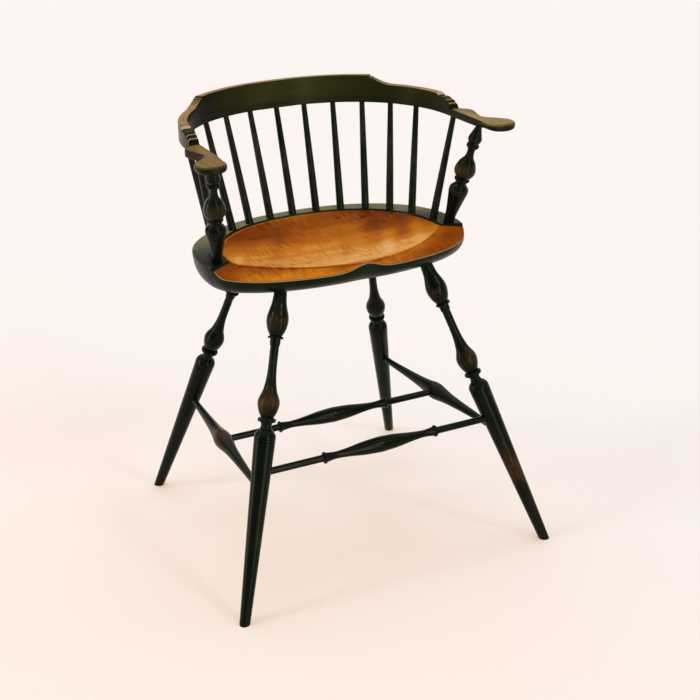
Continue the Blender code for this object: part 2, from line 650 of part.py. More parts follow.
def seat_column(rim, edge, on_deck, normal):
    """Points of one column, from the dish out over the edge and in under the plank."""
    hub = Vector((0.0, HUB_Y, 0.0))
    flat_rim = Vector((rim.x, rim.y, 0.0))
    outward = (edge - flat_rim).normalized()
    lip = rim.z - (GUTTER_DEPTH * 0.5 if on_deck else 0.0)
    bottom = DECK_Z - DISH_DEPTH
    points = []
    for share in (0.36, 0.60, 0.78, 0.91, 1.0):
        flat = hub.lerp(flat_rim - outward * GUTTER_WIDTH / 2, share)
        rise = SPINE_HEIGHT * math.exp(-(flat.x / POMMEL_HALF_WIDTH / 1.4) ** 2)
        rise *= smoothstep((HUB_Y - flat.y) / (HUB_Y - RIDGE_FRONT_Y)) * (1.0 - share ** 4)
        points.append(Vector((flat.x, flat.y, bottom + (lip - bottom) * share ** DISH_FALL + rise)))
    brim = DECK_Z if on_deck else front_edge_z(edge.x)
    run = (edge - flat_rim).length
    for share in (0.0, GUTTER_WIDTH / 2 / run, 0.5, 1.0):
        flat = flat_rim.lerp(edge, share)
        sunk = GUTTER_DEPTH if on_deck and share == 0.0 else 0.0
        points.append(Vector((flat.x, flat.y, rim.z + (brim - rim.z) * share ** 1.2 - sunk)))
    inset = UNDERCUT_SIDE + (UNDERCUT_FRONT - UNDERCUT_SIDE) * max(-normal.y, 0.0) ** 2
    for degrees in (26.0, 50.0, 72.0):
        turn = math.radians(degrees)
        flat = edge - normal * inset * (1.0 - math.cos(turn))
        points.append(Vector((flat.x, flat.y, brim - (brim - SEAT_UNDERSIDE) * math.sin(turn))))
    under = edge - normal * inset
    points.append(Vector((under.x, under.y, SEAT_UNDERSIDE)))
    return points


def make_seat():
    work = bmesh.new()
    columns = seat_columns()
    edges = [edge for _, edge, _ in columns]
    hub_top = work.verts.new((0.0, HUB_Y, DECK_Z - DISH_DEPTH))
    hub_under = work.verts.new((0.0, HUB_Y, SEAT_UNDERSIDE))
    rows = []
    for i, (rim, edge, on_deck) in enumerate(columns):
        ahead = edges[min(i + 1, len(edges) - 1)] - edges[max(i - 1, 0)]
        normal = Vector((-ahead.y, ahead.x, 0.0)).normalized()
        if i in (0, len(columns) - 1):
            normal = Vector((0.0, 1.0 if i == 0 else -1.0, 0.0))
        rows.append([work.verts.new(point) for point in seat_column(rim, edge, on_deck, normal)])
    for near, far in zip(rows, rows[1:]):
        work.faces.new((hub_top, far[0], near[0]))
        for k in range(len(near) - 1):
            work.faces.new((near[k], far[k], far[k + 1], near[k + 1]))
        work.faces.new((hub_under, near[-1], far[-1]))
    for vert in work.verts:
        if abs(vert.co.x) < 1e-6:
            vert.co.x = 0.0
    seat = add_piece("seat", mesh_from(work, "seat"), finish("seat_maple", (0.45, 0.16, 0.03), 0.3))
    half = seat.modifiers.new("other_half", "MIRROR")
    half.use_axis = (True, False, False)
    half.use_clip = True
    half.merge_threshold = 0.00001
    holes = bmesh.new()
    for side in (-1, 1):
        for front in (True, False):
            top, foot = leg_axis(front, side)
            up = (top - foot).normalized()
            slope = (LEG_TOP_DIA - LEG_TENON_TIP_DIA) / LEG_TENON
            below = LEG_TOP_DIA
            socket(holes, top - up * below, top + up * (LEG_TENON + FIT),
                   LEG_TOP_DIA + slope * below, LEG_TENON_TIP_DIA)
        foot, top = post_axis(side)
        up = (top - foot).normalized()
        slope = (POST_FOOT_DIA - POST_TENON_TIP_DIA) / POST_TENON
        above = POST_FOOT_DIA
        socket(holes, foot + up * above, foot - up * (POST_TENON + FIT),
               POST_FOOT_DIA + slope * above, POST_TENON_TIP_DIA)
    for index in SPINDLE_NUMBERS:
        foot, top = spindle_axis(index)
        low, _ = spindle_ends(index)
        up = (top - foot).normalized()
        socket(holes, low - up * FIT, foot + up * SPINDLE_SEAT_DIA, SPINDLE_SEAT_DIA, SPINDLE_SEAT_DIA)
    cut(seat, holes)


make_seat()


# Sections set square across the rail, used by the arms and the crest.
def loft(name, sections):
    """A solid through like-numbered closed sections, capped at both ends."""
    work = bmesh.new()
    loops = [[work.verts.new(point) for point in section] for section in sections]
    for near, far in zip(loops, loops[1:]):
        for k in range(len(near)):
            after = (k + 1) % len(near)
            work.faces.new((near[k], near[after], far[after], far[k]))
    for cap in (loops[0], loops[-1]):
        work.faces.new(cap)
    return mesh_from(work, name)


def arm_span(at):
    """Inner and outer edge of an arm, as offsets from the rail's inner face."""
    forward = at - rail.corner
    half_hand = HAND_WIDTH / 2
    if forward <= HAND_AT:
        keys = [(0.0, RAIL_WIDTH), (BUMP_FORWARD, BUMP_WIDTH), (HOLLOW_AT, HOLLOW_WIDTH),
                (HAND_AT, HAND_INSET + HAND_WIDTH)]
        return eased([(HOLLOW_AT, 0.0), (HAND_AT, HAND_INSET)], forward), eased(keys, max(forward, 0.0))
    rounded = min((forward - HAND_AT) / HAND_END, 1.0)
    reach = half_hand * max(1.0 - rounded ** HAND_ROUND_POWER, 0.0) ** (1.0 / HAND_ROUND_POWER)
    reach = max(reach, half_hand * 0.22)
    return HAND_INSET + half_hand - reach, HAND_INSET + half_hand + reach


def arm_section(at, side):
    inner, outer = arm_span(at)
    low, high, edge = ARM_UNDER_Z, ARM_TOP_Z, ARM_EDGE
    to_hand = smoothstep((at - rail.corner - HOLLOW_AT) / HOLLOW_TO_HAND)
    under = min(edge + HAND_UNDERCUT * to_hand, (outer - inner) * 0.4)
    corners = [(inner + under, low), (outer - under, low), (outer, low + under), (outer, high - edge),
               (outer - edge, high), (inner + edge, high), (inner, high - edge), (inner, low + under)]
    return [mirrored(rail.at(at, off) + Vector((0.0, 0.0, z)), side) for off, z in corners]


def rail_steps(start, stop, count):
    return [start + (stop - start) * i / count for i in range(count + 1)]


def lap_cutter(work, side):
    """Takes off half the thickness of an arm where it laps the other, and squares its end."""
    middle = (ARM_UNDER_Z + ARM_TOP_Z) / 2
    clear = RAIL_WIDTH
    shelf = middle + side * FIT / 2
    beyond = ARM_UNDER_Z - clear if side > 0 else ARM_TOP_Z + clear
    other = ARM_TOP_Z + clear if side > 0 else ARM_UNDER_Z - clear
    shoulder, tip, far = LAP_LENGTH / 2 + FIT, -LAP_LENGTH / 2, -LAP_LENGTH
    outline = [(far, beyond), (shoulder, beyond), (shoulder, shelf), (tip, shelf), (tip, other), (far, other)]
    back = RAIL_CORNER_Y + RAIL_BACK_REACH
    face = work.faces.new([work.verts.new((x * side, back - LAP_LENGTH, z)) for x, z in outline])
    grown = bmesh.ops.extrude_face_region(work, geom=[face])
    moved = [item for item in grown["geom"] if isinstance(item, bmesh.types.BMVert)]
    bmesh.ops.translate(work, verts=moved, vec=(0.0, LAP_LENGTH * 2, 0.0))


def peg_point(side):
    return rail.at(side * (CREST_END - PEG_FROM_CREST_END), RAIL_WIDTH / 2)


for arm_side, side_name in ((-1, "left"), (1, "right")):
    start = -LAP_LENGTH * 0.75
    stations = rail_steps(start, rail.corner, 20)
    stations += rail_steps(rail.corner, rail.corner + HAND_AT, 11)[1:]
    stations += [rail.corner + HAND_AT + HAND_END * share for share in (0.34, 0.62, 0.82, 0.94, 1.0)]
    sections = [arm_section(at, arm_side) for at in stations]
    arm = add_piece("arm_" + side_name, loft("arm_" + side_name, sections), paint("arm_" + side_name))
    lap = bmesh.new()
    lap_cutter(lap, arm_side)
    cut(arm, lap)
    holes = bmesh.new()
    foot, top = post_axis(arm_side)
    up = (top - foot).normalized()
    socket(holes, top - up * POST_TOP_DIA, past_end(foot, top, POST_TOP_TENON + FIT * 2),
           POST_TOP_DIA, POST_TOP_DIA)
    for index in SPINDLE_NUMBERS:
        if index * arm_side < 0:
            continue
        foot, top = spindle_axis(index)
        through = abs(index) < SPINDLES_EACH_SIDE
        rise = ARM_THICKNESS * 1.5 if through else SPINDLE_ARM_TENON + FIT * 2
        up = (top - foot).normalized()
        socket(holes, top - up * SPINDLE_SEAT_DIA, past_end(foot, top, rise),
               SPINDLE_RAIL_DIA, SPINDLE_RAIL_DIA)
    peg = peg_point(arm_side)
    socket(holes, Vector((peg.x, peg.y, ARM_UNDER_Z - PEG_DIA)), Vector((peg.x, peg.y, ARM_TOP_Z + PEG_DIA)),
           PEG_DIA, PEG_DIA)
    cut(arm, holes)


# Crest: level over the back, a small step, a hollow fall to a long shoulder, and a rounded end lobe.
def crest_height(at):
    """Height of the crest over the arms at a length along the rail."""
    if at <= CREST_STEP_AT:
        return CREST_HEIGHT
    fallen = at - CREST_STEP_AT
    stepped = CREST_HEIGHT - CREST_STEP
    if fallen <= CREST_COVE_LENGTH:
        share = fallen / CREST_COVE_LENGTH
        return CREST_LOBE_HEIGHT + (stepped - CREST_LOBE_HEIGHT) * (1.0 - share) ** 1.8
    along = (at - CREST_STEP_AT - CREST_COVE_LENGTH) / CREST_LOBE_LENGTH
    low = CREST_LOBE_HEIGHT - CREST_LOBE_STEP
    if along <= 1.0:
        rounded = smoothstep((along - 0.80) / 0.20) ** 2
        return CREST_LOBE_HEIGHT - CREST_LOBE_STEP * 0.7 * rounded
    ended = min((at - CREST_LOBE_END) / CREST_END_LENGTH, 1.0)
    return CREST_TOE_HEIGHT + (low - CREST_TOE_HEIGHT) * math.sqrt(max(1.0 - ended ** 2.4, 0.0))


def crest_section(at, height):
    low = ARM_TOP_Z + FIT
    high = ARM_TOP_Z + height
    face = min(CREST_FACE_ROUND, height * 0.3)
    back = min(CREST_BACK_ROUND, height * 0.4)
    _, outer = arm_span(abs(at))
    corners = [(0.0, low), (0.0, high - face), (face, high), (outer - back, high),
               (outer - back * 0.3, high - back * 0.3), (outer, high - back), (outer, low)]
    return [rail.at(at, off) + Vector((0.0, 0.0, z)) for off, z in corners]


half_stations = [(at, crest_height(at)) for at in rail_steps(0.0, CREST_STEP_AT, 8)]
half_stations += [(CREST_STEP_AT + CREST_STEP_RUN, CREST_HEIGHT - CREST_STEP)]
half_stations += [(at, crest_height(at)) for at in
                  rail_steps(CREST_STEP_AT, CREST_STEP_AT + CREST_COVE_LENGTH, 6)[1:]]
half_stations += [(at, crest_height(at)) for at in
                  rail_steps(CREST_STEP_AT + CREST_COVE_LENGTH, CREST_LOBE_END, 9)[1:]]
half_stations += [(at, crest_height(at)) for at in rail_steps(CREST_LOBE_END + CREST_STEP_RUN, CREST_END, 6)]
full_stations = [(-at, height) for at, height in reversed(half_stations[1:])] + half_stations
crest = add_piece("crest", loft("crest", [crest_section(at, height) for at, height in full_stations]),
                  paint("crest"))
crest_holes = bmesh.new()
for index in SPINDLE_NUMBERS[1:-1]:
    foot, top = spindle_axis(index)
    at_joint = past_end(foot, top, ARM_THICKNESS / 2)
    socket(crest_holes, at_joint, past_end(foot, top, spindle_rise(index) + FIT),
           SPINDLE_RAIL_DIA, SPINDLE_RAIL_DIA)
for peg_side in (-1, 1):
    peg = peg_point(peg_side)
    socket(crest_holes, Vector((peg.x, peg.y, ARM_TOP_Z - PEG_DIA)),
           Vector((peg.x, peg.y, ARM_TOP_Z + PEG_CREST_TENON + FIT)), PEG_DIA, PEG_DIA)
cut(crest, crest_holes)

# Crest pegs, driven up through the arms.
for peg_side, side_name in ((-1, "left"), (1, "right")):
    peg = peg_point(peg_side)
    outline = [(0.0, PEG_DIA / 2), (ARM_THICKNESS + PEG_CREST_TENON, PEG_DIA / 2)]
    turned("crest_peg_" + side_name, outline, SPINDLE_SIDES,
           Matrix.Translation((peg.x, peg.y, ARM_UNDER_Z)))
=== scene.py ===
import math

import bmesh
import bpy
from mathutils import Matrix, Vector


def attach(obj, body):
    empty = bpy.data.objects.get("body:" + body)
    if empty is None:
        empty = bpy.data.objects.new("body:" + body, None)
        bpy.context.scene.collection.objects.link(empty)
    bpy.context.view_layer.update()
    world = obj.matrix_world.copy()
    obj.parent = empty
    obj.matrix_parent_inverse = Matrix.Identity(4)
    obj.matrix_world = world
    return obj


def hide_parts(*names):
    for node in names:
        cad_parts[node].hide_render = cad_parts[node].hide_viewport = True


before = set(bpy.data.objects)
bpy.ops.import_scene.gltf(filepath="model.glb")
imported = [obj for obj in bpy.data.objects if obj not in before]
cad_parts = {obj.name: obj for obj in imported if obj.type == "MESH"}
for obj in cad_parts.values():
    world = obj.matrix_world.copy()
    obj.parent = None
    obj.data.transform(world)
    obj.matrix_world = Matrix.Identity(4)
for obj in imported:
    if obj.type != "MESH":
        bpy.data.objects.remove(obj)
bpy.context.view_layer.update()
scene = bpy.context.scene
scene.view_settings.view_transform = "Standard"

# Studio: a sheet of warm paper for a floor, lit a little from within so that it looks pale, and a dome
# that glows overhead and behind the chair. On each side stand a warm lamp and a narrow panel that shows
# only in the gloss. The camera looks down from the front left.
camera_right = Vector((0.8956, -0.4444, -0.0209)).normalized()
camera_back = camera_right.cross(Vector((0.1902, 0.3401, 0.9210))).normalized()
camera_up = camera_back.cross(camera_right)
camera_place = Vector((-1.09298, -2.34334, 1.46037))

lens = bpy.data.cameras.new("camera")
lens.lens = 72.28
lens.sensor_width = 36.0
camera = bpy.data.objects.new("camera", lens)
camera.matrix_world = Matrix.Translation(camera_place) @ Matrix(
    (camera_right, camera_up, camera_back)).transposed().to_4x4()
scene.collection.objects.link(camera)
scene.camera = camera


class Finish:
    """A value in a material's nodes. Sums and products add Math nodes, and node adds any other kind."""

    def __init__(self, tree, socket=None):
        self.tree = tree
        self.socket = socket

    def node(self, kind, settings, inputs, out=0):
        made = self.tree.nodes.new(kind)
        for name, value in settings.items():
            if name == "stops":
                for place, _ in value[1:-1]:
                    made.color_ramp.elements.new(place)
                for stop, (place, colour) in zip(made.color_ramp.elements, value):
                    stop.position = place
                    stop.color = (*colour, 1.0)
            else:
                setattr(made, name, value)
        for name, value in inputs.items():
            if isinstance(value, Finish):
                self.tree.links.new(value.socket, made.inputs[name])
            else:
                made.inputs[name].default_value = value
        return Finish(self.tree, made.outputs[out])

    def sum(self, operation, first, second):
        return self.node("ShaderNodeMath", {"operation": operation}, {0: first, 1: second})

    def __add__(self, other):
        return self.sum("ADD", self, other)

    def __sub__(self, other):
        return self.sum("SUBTRACT", self, other)

    def __rsub__(self, other):
        return self.sum("SUBTRACT", other, self)

    def __mul__(self, other):
        return self.sum("MULTIPLY", self, other)

    __radd__ = __add__
    __rmul__ = __mul__

    def mark(self, name, out="Fac"):
        """A value that is set on the points of the mesh."""
        return self.node("ShaderNodeAttribute", {"attribute_name": name}, {}, out)

    def vector(self, operation, other=(0.0, 0.0, 0.0), out="Vector"):
        return self.node("ShaderNodeVectorMath", {"operation": operation}, {0: self, 1: other}, out)

    def cloud(self, stretch, detail=3.0, turn=0.0):
        """Soft noise over a place, with so many patches to the metre along each axis."""
        laid = self.node("ShaderNodeMapping", {},
                         {"Vector": self, "Rotation": (0.0, 0.0, turn), "Scale": stretch})
        return self.node("ShaderNodeTexNoise", {}, {"Vector": laid, "Scale": 1.0, "Detail": detail}, "Fac")

    def between(self, low, high):
        """Nought below one value, one above another, and eased between them."""
        return self.node("ShaderNodeMapRange", {"interpolation_type": "SMOOTHSTEP"},
                         {"Value": self, "From Min": low, "From Max": high})

    def tinted(self, first, second):
        """A colour that goes from a first to a second as this value goes from nought to one."""
        ends = [(*c, 1.0) if isinstance(c, tuple) else c for c in (first, second)]
        return self.node("ShaderNodeMix", {"data_type": "RGBA"}, {0: self, 6: ends[0], 7: ends[1]}, 2)

    def into(self, shader, name):
        self.tree.links.new(self.socket, shader.inputs[name])

    def carved(self, shader, distance, strength):
        """Sets this height as a bump on a shader."""
        self.node("ShaderNodeBump", {}, {"Height": self, "Distance": distance, "Strength": strength}
                  ).into(shader, "Normal")


def new_finish(name, gloss=0.0, gloss_tint=(1.0, 1.0, 1.0)):
    """A material, its shader and a start for its nodes."""
    material = bpy.data.materials.new(name)
    material.use_nodes = True
    shader = material.node_tree.nodes["Principled BSDF"]
    shader.inputs["Specular IOR Level"].default_value = gloss
    shader.inputs["Specular Tint"].default_value = (*gloss_tint, 1.0)
    return material, shader, Finish(material.node_tree)


paper, paper_shader, start = new_finish("floor_paper")
place = start.node("ShaderNodeTexCoord", {}, {}, "Object")
away = place.vector("DOT_PRODUCT", (0.9, 0.43, 0.0), "Value").between(-0.6, 0.7)
away.tinted((0.446, 0.588, 0.725), (0.398, 0.575, 0.771)).into(paper_shader, "Base Color")
in_sight = 0.0
for ray in ("Is Camera Ray", "Is Glossy Ray", "Is Transmission Ray"):
    in_sight = start.node("ShaderNodeLightPath", {}, {}, ray) + in_sight
in_sight.tinted((0.0, 0.0, 0.0), away.tinted((0.530, 0.262, 0.074), (0.540, 0.290, 0.087))
                ).into(paper_shader, "Emission Color")
paper_shader.inputs["Emission Strength"].default_value = 1.0
(0.86 + place.cloud((9.0, 9.0, 9.0)) * 0.08).into(paper_shader, "Roughness")
sheet = bmesh.new()
bmesh.ops.create_grid(sheet, x_segments=1, y_segments=1, size=30.0)
floor_mesh = bpy.data.meshes.new("floor")
sheet.to_mesh(floor_mesh)
sheet.free()
floor = bpy.data.objects.new("floor", floor_mesh)
floor_mesh.materials.append(paper)
scene.collection.objects.link(floor)

dome = bpy.data.worlds.new("dome")
scene.world = dome
dome.use_nodes = True
sky = Finish(dome.node_tree)
toward = sky.node("ShaderNodeTexCoord", {}, {}, "Generated")
rise = sky.node("ShaderNodeSeparateXYZ", {}, {0: toward}, "Z")
level = toward.vector("MULTIPLY", (1.0, 1.0, 0.0)).vector("NORMALIZE")
behind, beside_left, beside_right = [
    level.vector("DOT_PRODUCT", side, "Value")
    for side in ((0.43, 0.90, 0.0), (-0.981, 0.179, 0.0), (0.156, -0.988, 0.0))]
behind = behind.between(-0.5, 0.9)
panels = beside_left.between(0.974, 0.994) + beside_right.between(0.974, 0.994)
front_glow = 0.30
low_behind = (1.0 - rise.between(0.10, 0.27)) * behind * 0.78
overhead = rise.between(0.42, 0.62) * (0.44 + behind * 0.80)
tall_panels = (1.0 - rise.between(0.35, 0.50)) * panels * 2.4
background = dome.node_tree.nodes["Background"]
(front_glow + low_behind + overhead + tall_panels).into(background, "Strength")
background.inputs["Color"].default_value = (1.0, 0.99, 0.97, 1.0)


def new_light(name, kind, energy, toward):
    """A light turned to shine from a direction, and its stand."""
    light = bpy.data.lights.new(name, kind)
    light.energy = energy
    stand = bpy.data.objects.new(name, light)
    stand.rotation_mode = "QUATERNION"
    stand.rotation_quaternion = Vector(toward).to_track_quat("Z", "Y")
    scene.collection.objects.link(stand)
    return light, stand


lamps = (("left", (-0.98, 0.18, 0.72), 0.50), ("right", (0.45, -0.89, 0.75), 0.46))
for side_name, toward, strength in lamps:
    lamp, _ = new_light("lamp_" + side_name, "SUN", strength, toward)
    lamp.color = (1.0, 0.87, 0.70)
    lamp.angle = math.radians(10.0)
for side_name, x, y in (("left", -1.57, 0.29), ("right", 0.25, -1.58)):
    panel, stand = new_light("panel_" + side_name, "AREA", 4.0, (x, y, 0.0))
    panel.shape = "RECTANGLE"
    panel.size, panel.size_y = 0.26, 1.0
    stand.location = (x, y, 0.50)
    stand.visible_diffuse = False
    stand.visible_camera = False


# Seat: one thick maple plank, sawn round and saddled by hand. A deck is left standing round its back and
# sides for the spindles, with a gutter cut along it and across its front ends, and the front falls away
# from a ridge. The dish and the front are stained amber and varnished; deck, edge and underside are painted.
deck_z = 0.610
seat_under_z = 0.561
seat_half_width = 0.270
seat_widest_y = -0.020
seat_back_reach = 0.203
seat_front_reach = 0.154
back_power = 2.2
front_power = 2.5
undercut_front = 0.048
undercut_side = 0.022
gutter_half_width = 0.222
gutter_widest_y = -0.040
gutter_back_y = 0.152
gutter_width = 0.0054
gutter_depth = 0.0040
horn_y = -0.046
deck_end_forward = 0.046
dish_depth = 0.020
dish_fall = 2.6
ridge_drop = 0.0058
ridge_front_y = -0.155
ridge_bow = 2.2
front_edge_drop = 0.016
front_edge_run = 0.014
pommel_reach = 0.014
pommel_drop = 0.0035
pommel_half_width = 0.030
spine_height = 0.005
spine_spread = 1.4
brim_round = 0.0018
deck_end_groove = 0.0078
front_hollow = 0.85
ridge_fall_rate = 12.0
ridge_step = 0.0018
ridge_step_width = 0.0055
ridge_step_fade = 0.007
dish_rows = 27
dish_crowding = 0.06
gutter_offsets = (-0.42, -0.26, 0.0, 0.26, 0.42, 0.5)
top_rows = 10
top_spacing = 1.4
edge_rows = 16
under_rows = 5
hub = Vector((0.0, (gutter_back_y + ridge_front_y) / 2, 0.0))


def smoothstep(value):
    value = min(max(value, 0.0), 1.0)
    return value * value * (3.0 - 2.0 * value)


def oval(half_width, reach, widest_y, power, angle):
    """A point on one end of a squared oval; the angle is 0 at its side and a right angle at its end."""
    across = max(math.cos(angle), 0.0) ** (2.0 / power)
    along = max(math.sin(angle), 0.0) ** (2.0 / power)
    return Vector((half_width * across, widest_y + reach * along, 0.0))


def front_oval(angle):
    return oval(seat_half_width, -seat_front_reach, seat_widest_y, front_power, angle)


deck_end_angle = math.asin((deck_end_forward / seat_front_reach) ** (front_power / 2.0))
deck_end_x = front_oval(deck_end_angle).x


def front_edge_z(x):
    """Height of the front edge: full at the deck's ends, low under the thighs, up at the pommel."""
    fallen = 1.0 - (1.0 - min((deck_end_x - x) / front_edge_run, 1.0)) ** 2
    pommel = math.exp(-(x / pommel_half_width) ** 2)
    return deck_z - front_edge_drop * fallen + (front_edge_drop - pommel_drop) * pommel * fallen


def ridge_point(share):
    """The ridge before the dish, from the deck's horn (share 0) to the pommel (share 1)."""
    x = gutter_half_width * (1.0 - share)
    pommel = math.exp(-(x / pommel_half_width) ** 2)
    y = horn_y - (horn_y - ridge_front_y) * (1.0 - (1.0 - share) ** ridge_bow) - pommel_reach * pommel
    fallen = 1.0 - (1.0 - min(share * ridge_fall_rate, 1.0)) ** 2
    z = deck_z - ridge_drop * fallen + (ridge_drop - pommel_drop) * pommel
    return Vector((x, y, z))


def seat_columns():
    """Rim of the dish, point on the outline and kind of each column, from the back round to the front."""
    back_count, deck_end_count, front_count = 96, 8, 100
    front_crowding = 1.25
    columns = []
    for i in range(back_count + 1):
        angle = math.pi / 2 * (1.0 - i / back_count)
        rim = oval(gutter_half_width, gutter_back_y - gutter_widest_y, gutter_widest_y, back_power, angle)
        edge = oval(seat_half_width, seat_back_reach, seat_widest_y, back_power, angle)
        columns.append((rim + Vector((0.0, 0.0, deck_z)), edge, "deck"))
    for i in range(1, deck_end_count + 1):
        rim_y = gutter_widest_y + (horn_y - gutter_widest_y) * i / deck_end_count
        edge = front_oval(deck_end_angle * i / deck_end_count)
        columns.append((Vector((gutter_half_width, rim_y, deck_z)), edge, "deck"))
    groove_end = deck_end_angle
    for gap in (0.2, 0.5, 0.8, 1.0):
        while (front_oval(groove_end) - front_oval(deck_end_angle)).length < deck_end_groove * gap:
            groove_end += 0.0005
        edge = front_oval(groove_end)
        kind = "front" if gap == 1.0 else "groove"
        columns.append((ridge_point(1.0 - edge.x / deck_end_x), edge, kind))
    for i in range(1, front_count + 1):
        angle = groove_end + (math.pi / 2 - groove_end) * (i / front_count) ** front_crowding
        edge = front_oval(angle)
        columns.append((ridge_point(1.0 - edge.x / deck_end_x), edge, "front"))
    return columns


# Broad bands across the dish, partly the curly figure and partly painted sheen; those with a negative amount
# are painted highlights. Each band's place across the wood, its near and far end, its half width and
# how dark it is.
flames_and_sheen = ((-0.150, -0.03, 0.05, 0.012, 0.10), (-0.094, -0.03, 0.06, 0.012, 0.30),
          (-0.055, -0.01, 0.05, 0.012, 0.12), (0.040, -0.07, 0.00, 0.011, 0.20),
          (0.093, -0.03, 0.06, 0.022, 0.30), (0.119, -0.11, -0.01, 0.014, -0.38),
          (0.150, -0.02, 0.06, 0.014, 0.22), (0.178, -0.09, 0.00, 0.014, -0.38),
          (0.190, 0.00, 0.06, 0.013, 0.35), (-0.162, -0.04, 0.00, 0.012, -0.28))
flame_and_sheen_fade = 0.03


def dish_stain_and_shade(x, y):
    """How dark the dish is drawn: deep at the back and the ends, partly stain and partly painted shade,
    thin under the thighs, with painted shade by the pommel and broad soft bands across it, partly the
    curly figure and partly painted sheen."""
    back = smoothstep((y + 0.075) / 0.225)
    back_left = smoothstep((0.02 - x) / 0.10) * smoothstep((y - 0.03) / 0.06)
    left_end = smoothstep((-x - 0.09) / 0.11) * (0.08 + 0.20 * smoothstep((y - 0.01) / 0.06))
    right_end = smoothstep((x - 0.07) / 0.09) * smoothstep((y + 0.11) / 0.09)
    # Painted shade at the pommel, where the ridge rises.
    by_pommel = math.exp(-((x + 0.02) / 0.035) ** 2) * smoothstep((-y - 0.145) / 0.02)
    dark = -0.42 + 0.98 * back + 0.36 * back_left + left_end + 0.55 * right_end + 0.50 * by_pommel
    across = 0.90 * x - 0.43 * y
    for at, near, far, half, amount in flames_and_sheen:
        flame_and_sheen = math.exp(-((across - at) / half) ** 2)
        flame_and_sheen *= smoothstep((y - near + flame_and_sheen_fade) / flame_and_sheen_fade)
        dark += amount * flame_and_sheen * smoothstep((far + flame_and_sheen_fade - y) / flame_and_sheen_fade)
    return dark


def front_stain_and_shade(x, share):
    """How dark the front is drawn, from the ridge (share 0) to the brim (share 1): the stain, with painted
    shade below the ridge on the left, at the left tip, by the pommel and towards the right end, and a
    painted highlight below the ridge on the right.
    """
    far_left = smoothstep((-x - 0.08) / 0.08)
    left_tip = smoothstep((-x - 0.20) / 0.06)
    by_pommel = math.exp(-((x + 0.045) / 0.02) ** 2)
    # On the left, painted shade below the ridge fades towards the brim; the left tip and the pommel get
    # painted shade too.
    left = 0.22 + 0.28 * far_left - (0.28 + 0.27 * far_left) * smoothstep(share / 0.8)
    left += 0.75 * left_tip + 0.30 * by_pommel
    right = 0.25 + 0.40 * smoothstep((x - 0.04) / 0.16)
    # A painted highlight below the ridge on the right.
    right -= 0.28 * smoothstep((x - 0.08) / 0.06) * (1.0 - smoothstep(share / 0.5))
    return left + (right - left) * smoothstep((x + 0.04) / 0.06)


def seat_column(rim, edge, kind, normal):
    """One column's (point, rub, stain and painted shade, painted) from the dish out over the edge and in
    under the plank.
    """
    flat_rim = Vector((rim.x, rim.y, 0.0))
    run = (edge - flat_rim).length
    outward = (edge - flat_rim) / run
    sunk = gutter_depth if kind == "groove" else 0.0
    lip = rim.z - (gutter_depth * 0.5 if kind != "front" else 0.0)
    bottom = deck_z - dish_depth
    painted = kind != "front"
    brim = deck_z if kind == "deck" else front_edge_z(edge.x)
    step = 0.0 if kind == "deck" else ridge_step * smoothstep((rim.z - brim) / ridge_step_fade)

    def top_z(share):
        fall = smoothstep((share * run - gutter_width * 0.1) / ridge_step_width)
        return rim.z - step * fall + (brim - rim.z + step) * share ** front_hollow

    points = []

    def add(flat, z, rub, stain=0.0, paint=True):
        points.append((Vector((flat.x, flat.y, z)), rub, stain, paint))

    for i in range(dish_rows):
        share = i / (dish_rows - 1)
        share += dish_crowding * math.sin(math.pi * share)
        flat = hub.lerp(flat_rim - outward * gutter_width / 2, share)
        rise = spine_height * math.exp(-(flat.x / pommel_half_width / spine_spread) ** 2)
        rise *= smoothstep((hub.y - flat.y) / (hub.y - ridge_front_y)) * (1.0 - share ** 4)
        add(flat, bottom + (lip - bottom) * share ** dish_fall + rise, 0.0, 0.15, False)
    for off in gutter_offsets:
        share = max(off, 0.0) * gutter_width / run
        z = top_z(share) - sunk
        if kind == "deck":
            side = lip if off < 0.0 else deck_z
            z = deck_z - gutter_depth + (side - deck_z + gutter_depth) * smoothstep(abs(off) * 2.0)
        flat = flat_rim + outward * off * gutter_width
        worn = 0.3 if kind == "deck" and off == 0.5 else 0.0
        # Past the ridge's top the stain of 0.75 draws a thin painted shadow along the crease.
        add(flat, z, worn, 0.1 if off <= 0.0 else 0.75, painted)
    start = gutter_width * 0.5 / run
    stop = 1.0 - brim_round / run
    for i in range(1, top_rows + 1):
        share = start + (stop - start) * (i / top_rows) ** top_spacing
        flat = flat_rim.lerp(edge, share)
        # On the deck the rub draws a painted sheen that is lighter towards the back.
        worn = 0.30 + 0.40 * smoothstep((flat.y + 0.02) / 0.14) if kind == "deck" else 0.0
        add(flat, top_z(share) - sunk, worn, 0.0, painted)
    side_height = brim - seat_under_z
    inset = undercut_side + (undercut_front - undercut_side) * max(-normal.y, 0.0) ** 2
    for degrees, worn in ((20.0, 0.7), (50.0, 1.15), (90.0, 0.3)):
        turn = math.radians(degrees)
        flat = edge - normal * brim_round * (1.0 - math.sin(turn))
        drop = brim_round * (1.0 - math.cos(turn))
        # On the deck the rounded brim's rub draws a painted highlight; in front it draws the thin pale brim
        # line.
        worn = {"deck": 0.4, "groove": 0.0}.get(kind, worn)
        add(flat, brim - drop - sunk, worn)
    first = math.asin(brim_round / side_height)
    for i in range(1, edge_rows + 1):
        turn = first + (math.pi / 2 - first) * i / edge_rows
        flat = edge - normal * inset * (1.0 - math.cos(turn))
        sunk *= 0.4
        add(flat, brim - side_height * math.sin(turn) - sunk, 0.1 * (1.0 - i / edge_rows))
    under = edge - normal * inset
    for i in range(1, under_rows + 1):
        add(under.lerp(hub, i / under_rows), seat_under_z, 0.0)
    return points


